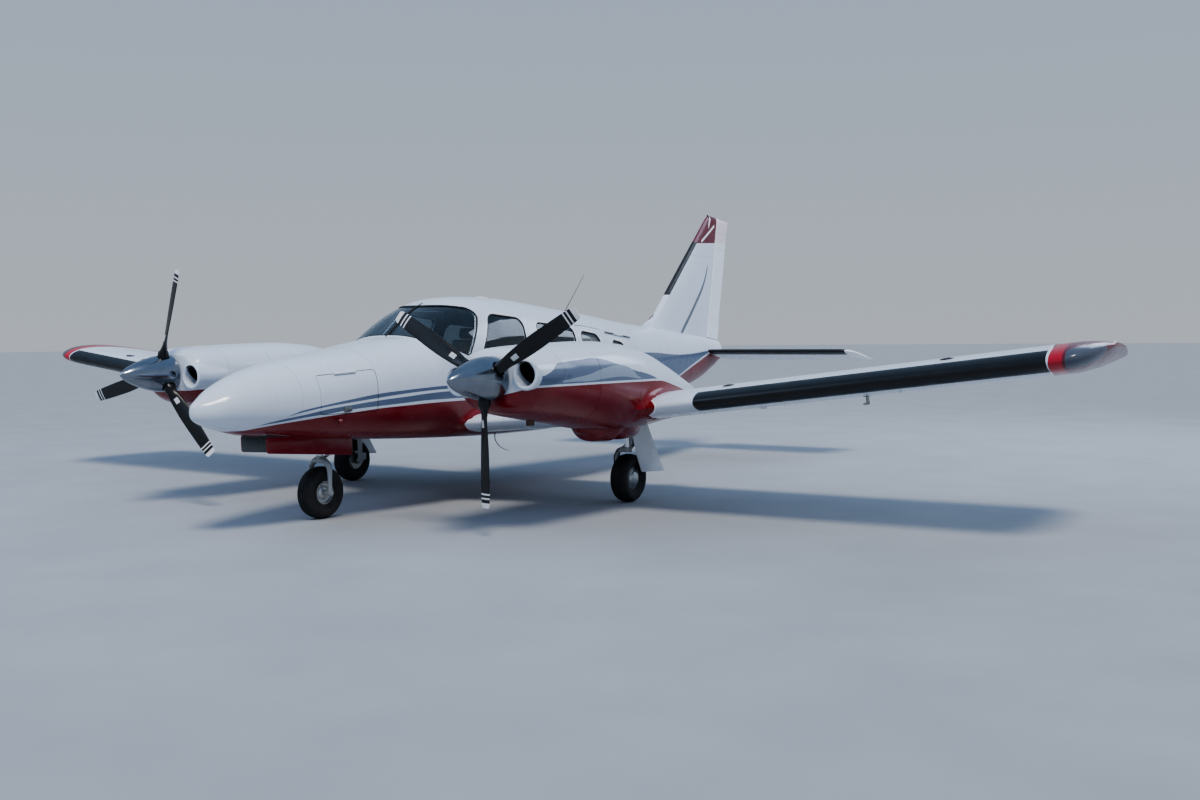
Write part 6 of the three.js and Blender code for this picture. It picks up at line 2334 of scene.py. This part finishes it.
def ball(centre, radii):
    bm = bmesh.new()
    bmesh.ops.create_uvsphere(bm, u_segments=40, v_segments=20, radius=1.0)
    grow = Matrix.Diagonal((*[radius * MM for radius in radii], 1))
    bmesh.ops.transform(bm, matrix=at_mm(*centre) @ grow, verts=bm.verts)
    return bm


def on_wing(span, y_mm, side):
    """The height of the wing's upper (1) or lower (-1) skin there, in the flat frame."""
    row = wing_row(span)
    return skin_height(row, (y_mm - row[0]) / row[1], side)


# Fuel caps: a dark ring round a bright lid, flush on the upper skin
caps, rings = bmesh.new(), bmesh.new()
for span, y_mm in ((2950, -1390), (4740, -1390)):
    z = on_wing(span, y_mm, 1)
    cylinder(rings, (span, y_mm, z - 4), (span, y_mm, z + 2), 52, 48)
    cylinder(caps, (span, y_mm, z - 3), (span, y_mm, z + 4.5), 40, 48)
    box(caps, (span, y_mm, z + 6), (54, 9, 5), 2, 2)
for name, bm, material, slot in (("fuel_cap_ring", rings, antenna_black, "tyre"),
                                 ("fuel_cap", caps, plated_steel, "gear_metal")):
    both_sides(to_panel(add_piece(name, bm, material)), "airframe", slot)

# Lamps at the wing tips: red to port and green to starboard
for side, code in (("left", "B3131B"), ("right", "128A4B")):
    lamp = add_piece("tip_lamp_" + side, ball((5778, -1044, 1408), (20, 52, 16)),
                     lens("lamp glass, " + side, code))
    finish_piece(mirror(lamp) if side == "right" else lamp, "airframe", "window")

# Under the port wing: the pitot mast with its head pointing forward
pitot = bmesh.new()
under = on_wing(4050, -1250, -1)
box(pitot, (4050, -1250, under - 30), (12, 52, 66), 5, 3)
cylinder(pitot, (4050, -1240, under - 58), (4050, -1340, under - 58), 10, 24, 7)
box(pitot, (4050, -1250, under - 1), (34, 92, 5), 2, 2)
finish_piece(to_panel(add_piece("pitot_head", pitot, plated_steel)), "airframe", "gear_metal")

# Under both wings: a fairing, a tie-down lug and the brackets that carry the flap and the aileron
under_wing = bmesh.new()
for span, y_mm, length in ((3190, -1300, 86), (4380, -1440, 26)):
    box(under_wing, (span, y_mm, on_wing(span, y_mm, -1) - 6), (22, length, 20), 6, 3)
for start, end, hinge_y, _ in (FLAP, AILERON):
    for share in (0.12, 0.5, 0.88):
        span, y_mm = start + (end - start) * share, hinge_y - 60
        box(under_wing, (span, y_mm, on_wing(span, y_mm, -1) - 3), (10, 110, 26), 5, 3)
both_sides(to_panel(add_piece("under_wing_fittings", under_wing, trim_paint)), "airframe",
           "white_paint")
print("fittings on the wings")


# %% [markdown]
# ## Antennas, vents and wicks
# A whip antenna is a tube along a soft curve, thinner towards its end. The bump on the roof is a squashed
# ball, and the vents are small boxes with rounded edges.

# %% Antennas, vents and wicks
WHIP_ROUTES = [[(0, 520, 1728), (0, 560, 1782), (0, 700, 1930), (0, 910, 2154)],
               [(0, 2300, 1668), (0, 2340, 1702), (0, 2450, 1748), (0, 2590, 1806)],
               [(900, -1880, 660), (880, -1850, 590), (850, -1740, 520), (835, -1600, 476)]]
whips = join_meshes("whip_antennas", [tube(route, lambda t: 5 - 3 * t, 30, 12, upright=(1, 0, 0))
                                      for route in WHIP_ROUTES], antenna_black)
finish_piece(whips, "airframe", "black_blade")

roof_bump = ball((0, -910, hull_ring(-910)[1] - 6), (46, 118, 26))
finish_piece(add_piece("roof_antenna", roof_bump, antenna_white), "airframe", "white_paint")

# Small black sensors at the fin's foot, roof vents, and the long rail along the cargo door's hinge line
vents = bmesh.new()
for side in (-1, 1):
    box(vents, (side * 54, 2592, 1620), (12, 22, 84), 4, 3)
    box(vents, (side * 392, 300, 1640), (26, 60, 12), 4, 3, Matrix.Rotation(side * 0.75, 4, "Y"))
start, along = Vector(HINGES["cargo_door"][0]), Vector(HINGES["cargo_door"][1]).normalized()
for first, last in ((8, 205), (405, 600)):
    cylinder(vents, start + along * first, start + along * last, 6, 16)
finish_piece(add_piece("vents_and_rail", vents, antenna_black), "airframe", "tyre")


def scoop_place(side):
    """A small air scoop low on the nose: half a round, thinner towards its end."""
    def place(along, around):
        out = hull_ring(-3262)[0] - 14 + 15 * math.sin(math.pi * around) * (1 - 0.3 * along)
        return Vector((side * out, -3286 + 44 * along, 824 + 22 * math.cos(math.pi * around))) * MM
    return place


scoops = join_meshes("nose_scoops", [rolled_sheet(16, 24, scoop_place(side)) for side in (-1, 1)], hull_paint)
finish_piece(scoops, "airframe", "red_paint")

# Static wicks at the ailerons' trailing edges
wicks = bmesh.new()
for span in (4500, 4950, 5380):
    row = wing_row(span)
    back = row[0] + row[1]
    z = skin_height(row, 1.0, 1)
    cylinder(wicks, (span, back - 8, z), (span, back + 95, z - 4), 3, 10, 1.5)
both_sides(to_panel(add_piece("aileron_wicks", wicks, antenna_black)), "aileron_SIDE",
           "black_blade")
sensor = rod_piece("fin_top_sensor", antenna_black, ((0, 3792, 2985), (0, 3792, 3019), 13, 32, 10))
finish_piece(sensor, "airframe", "tyre")
print("antennas", len(WHIP_ROUTES) + 1)


# %% [markdown]
# ## The studio
# A pale floor and a large soft sky of light, with one broad key light high on the port side, where the
# sun stood in the photograph.

# %% The studio
def concrete():
    material, place = new_material("pale sealed concrete")
    patches = grain(material, place, 900, 0.0, 1.0, 6)
    colour = over(material, patches, "ABB0B6", "A4A9AF")
    rough = grain(material, place, 300, 0.8, 0.95)
    return surface(material, Base_Color=colour, Roughness=rough, IOR=1.3)


floor_bm = bmesh.new()
bmesh.ops.create_circle(floor_bm, cap_ends=True, segments=128, radius=150)
floor = add_piece("floor", floor_bm, concrete())


def soft_light(name, place, target, size, power, colour):
    lamp = bpy.data.lights.new(name, "AREA")
    lamp.shape, lamp.size, lamp.size_y = "RECTANGLE", *size
    lamp.energy, lamp.color = power, linear(colour)[:3]
    light = bpy.data.objects.new(name, lamp)
    aim = (Vector(target) - Vector(place)).to_track_quat("-Z", "Y")
    light.matrix_world = Matrix.Translation(place) @ aim.to_matrix().to_4x4()
    bpy.context.scene.collection.objects.link(light)


def sky_gradient():
    """Pale at the horizon, where it meets the floor, and brighter and bluer overhead."""
    world = bpy.data.worlds.new("soft studio sky")
    world.use_nodes = True
    height = x_y_z(world, node(world, "TexCoord").node.outputs["Generated"])[2]
    ramp = node(world, "ValToRGB", {0: height})
    low, high = ramp.node.color_ramp.elements
    low.color, high.color, high.position = linear("D5DCE4"), linear("A6C8F2"), 0.7
    background = world.node_tree.nodes["Background"]
    world.node_tree.links.new(ramp, background.inputs[0])
    background.inputs[1].default_value = 0.62
    return world


sun = bpy.data.lights.new("key", "SUN")
sun.energy, sun.angle, sun.color = 2.0, math.radians(16), linear("FFF5E8")[:3]
key = bpy.data.objects.new("key", sun)
key.matrix_world = Vector((-4.5, 4.5, -11)).to_track_quat("-Z", "Y").to_matrix().to_4x4()
bpy.context.scene.collection.objects.link(key)
soft_light("sky fill", (-6, -8, 8), (0, 0, 1), (8, 5), 260, "CFE0FF")
soft_light("tail light", (6, 8, 7), (0, 2, 1), (6, 4), 260, "DCE9FF")
bpy.context.scene.world = sky_gradient()
bpy.context.scene.view_settings.look = "AgX - Medium High Contrast"
print("studio lit")
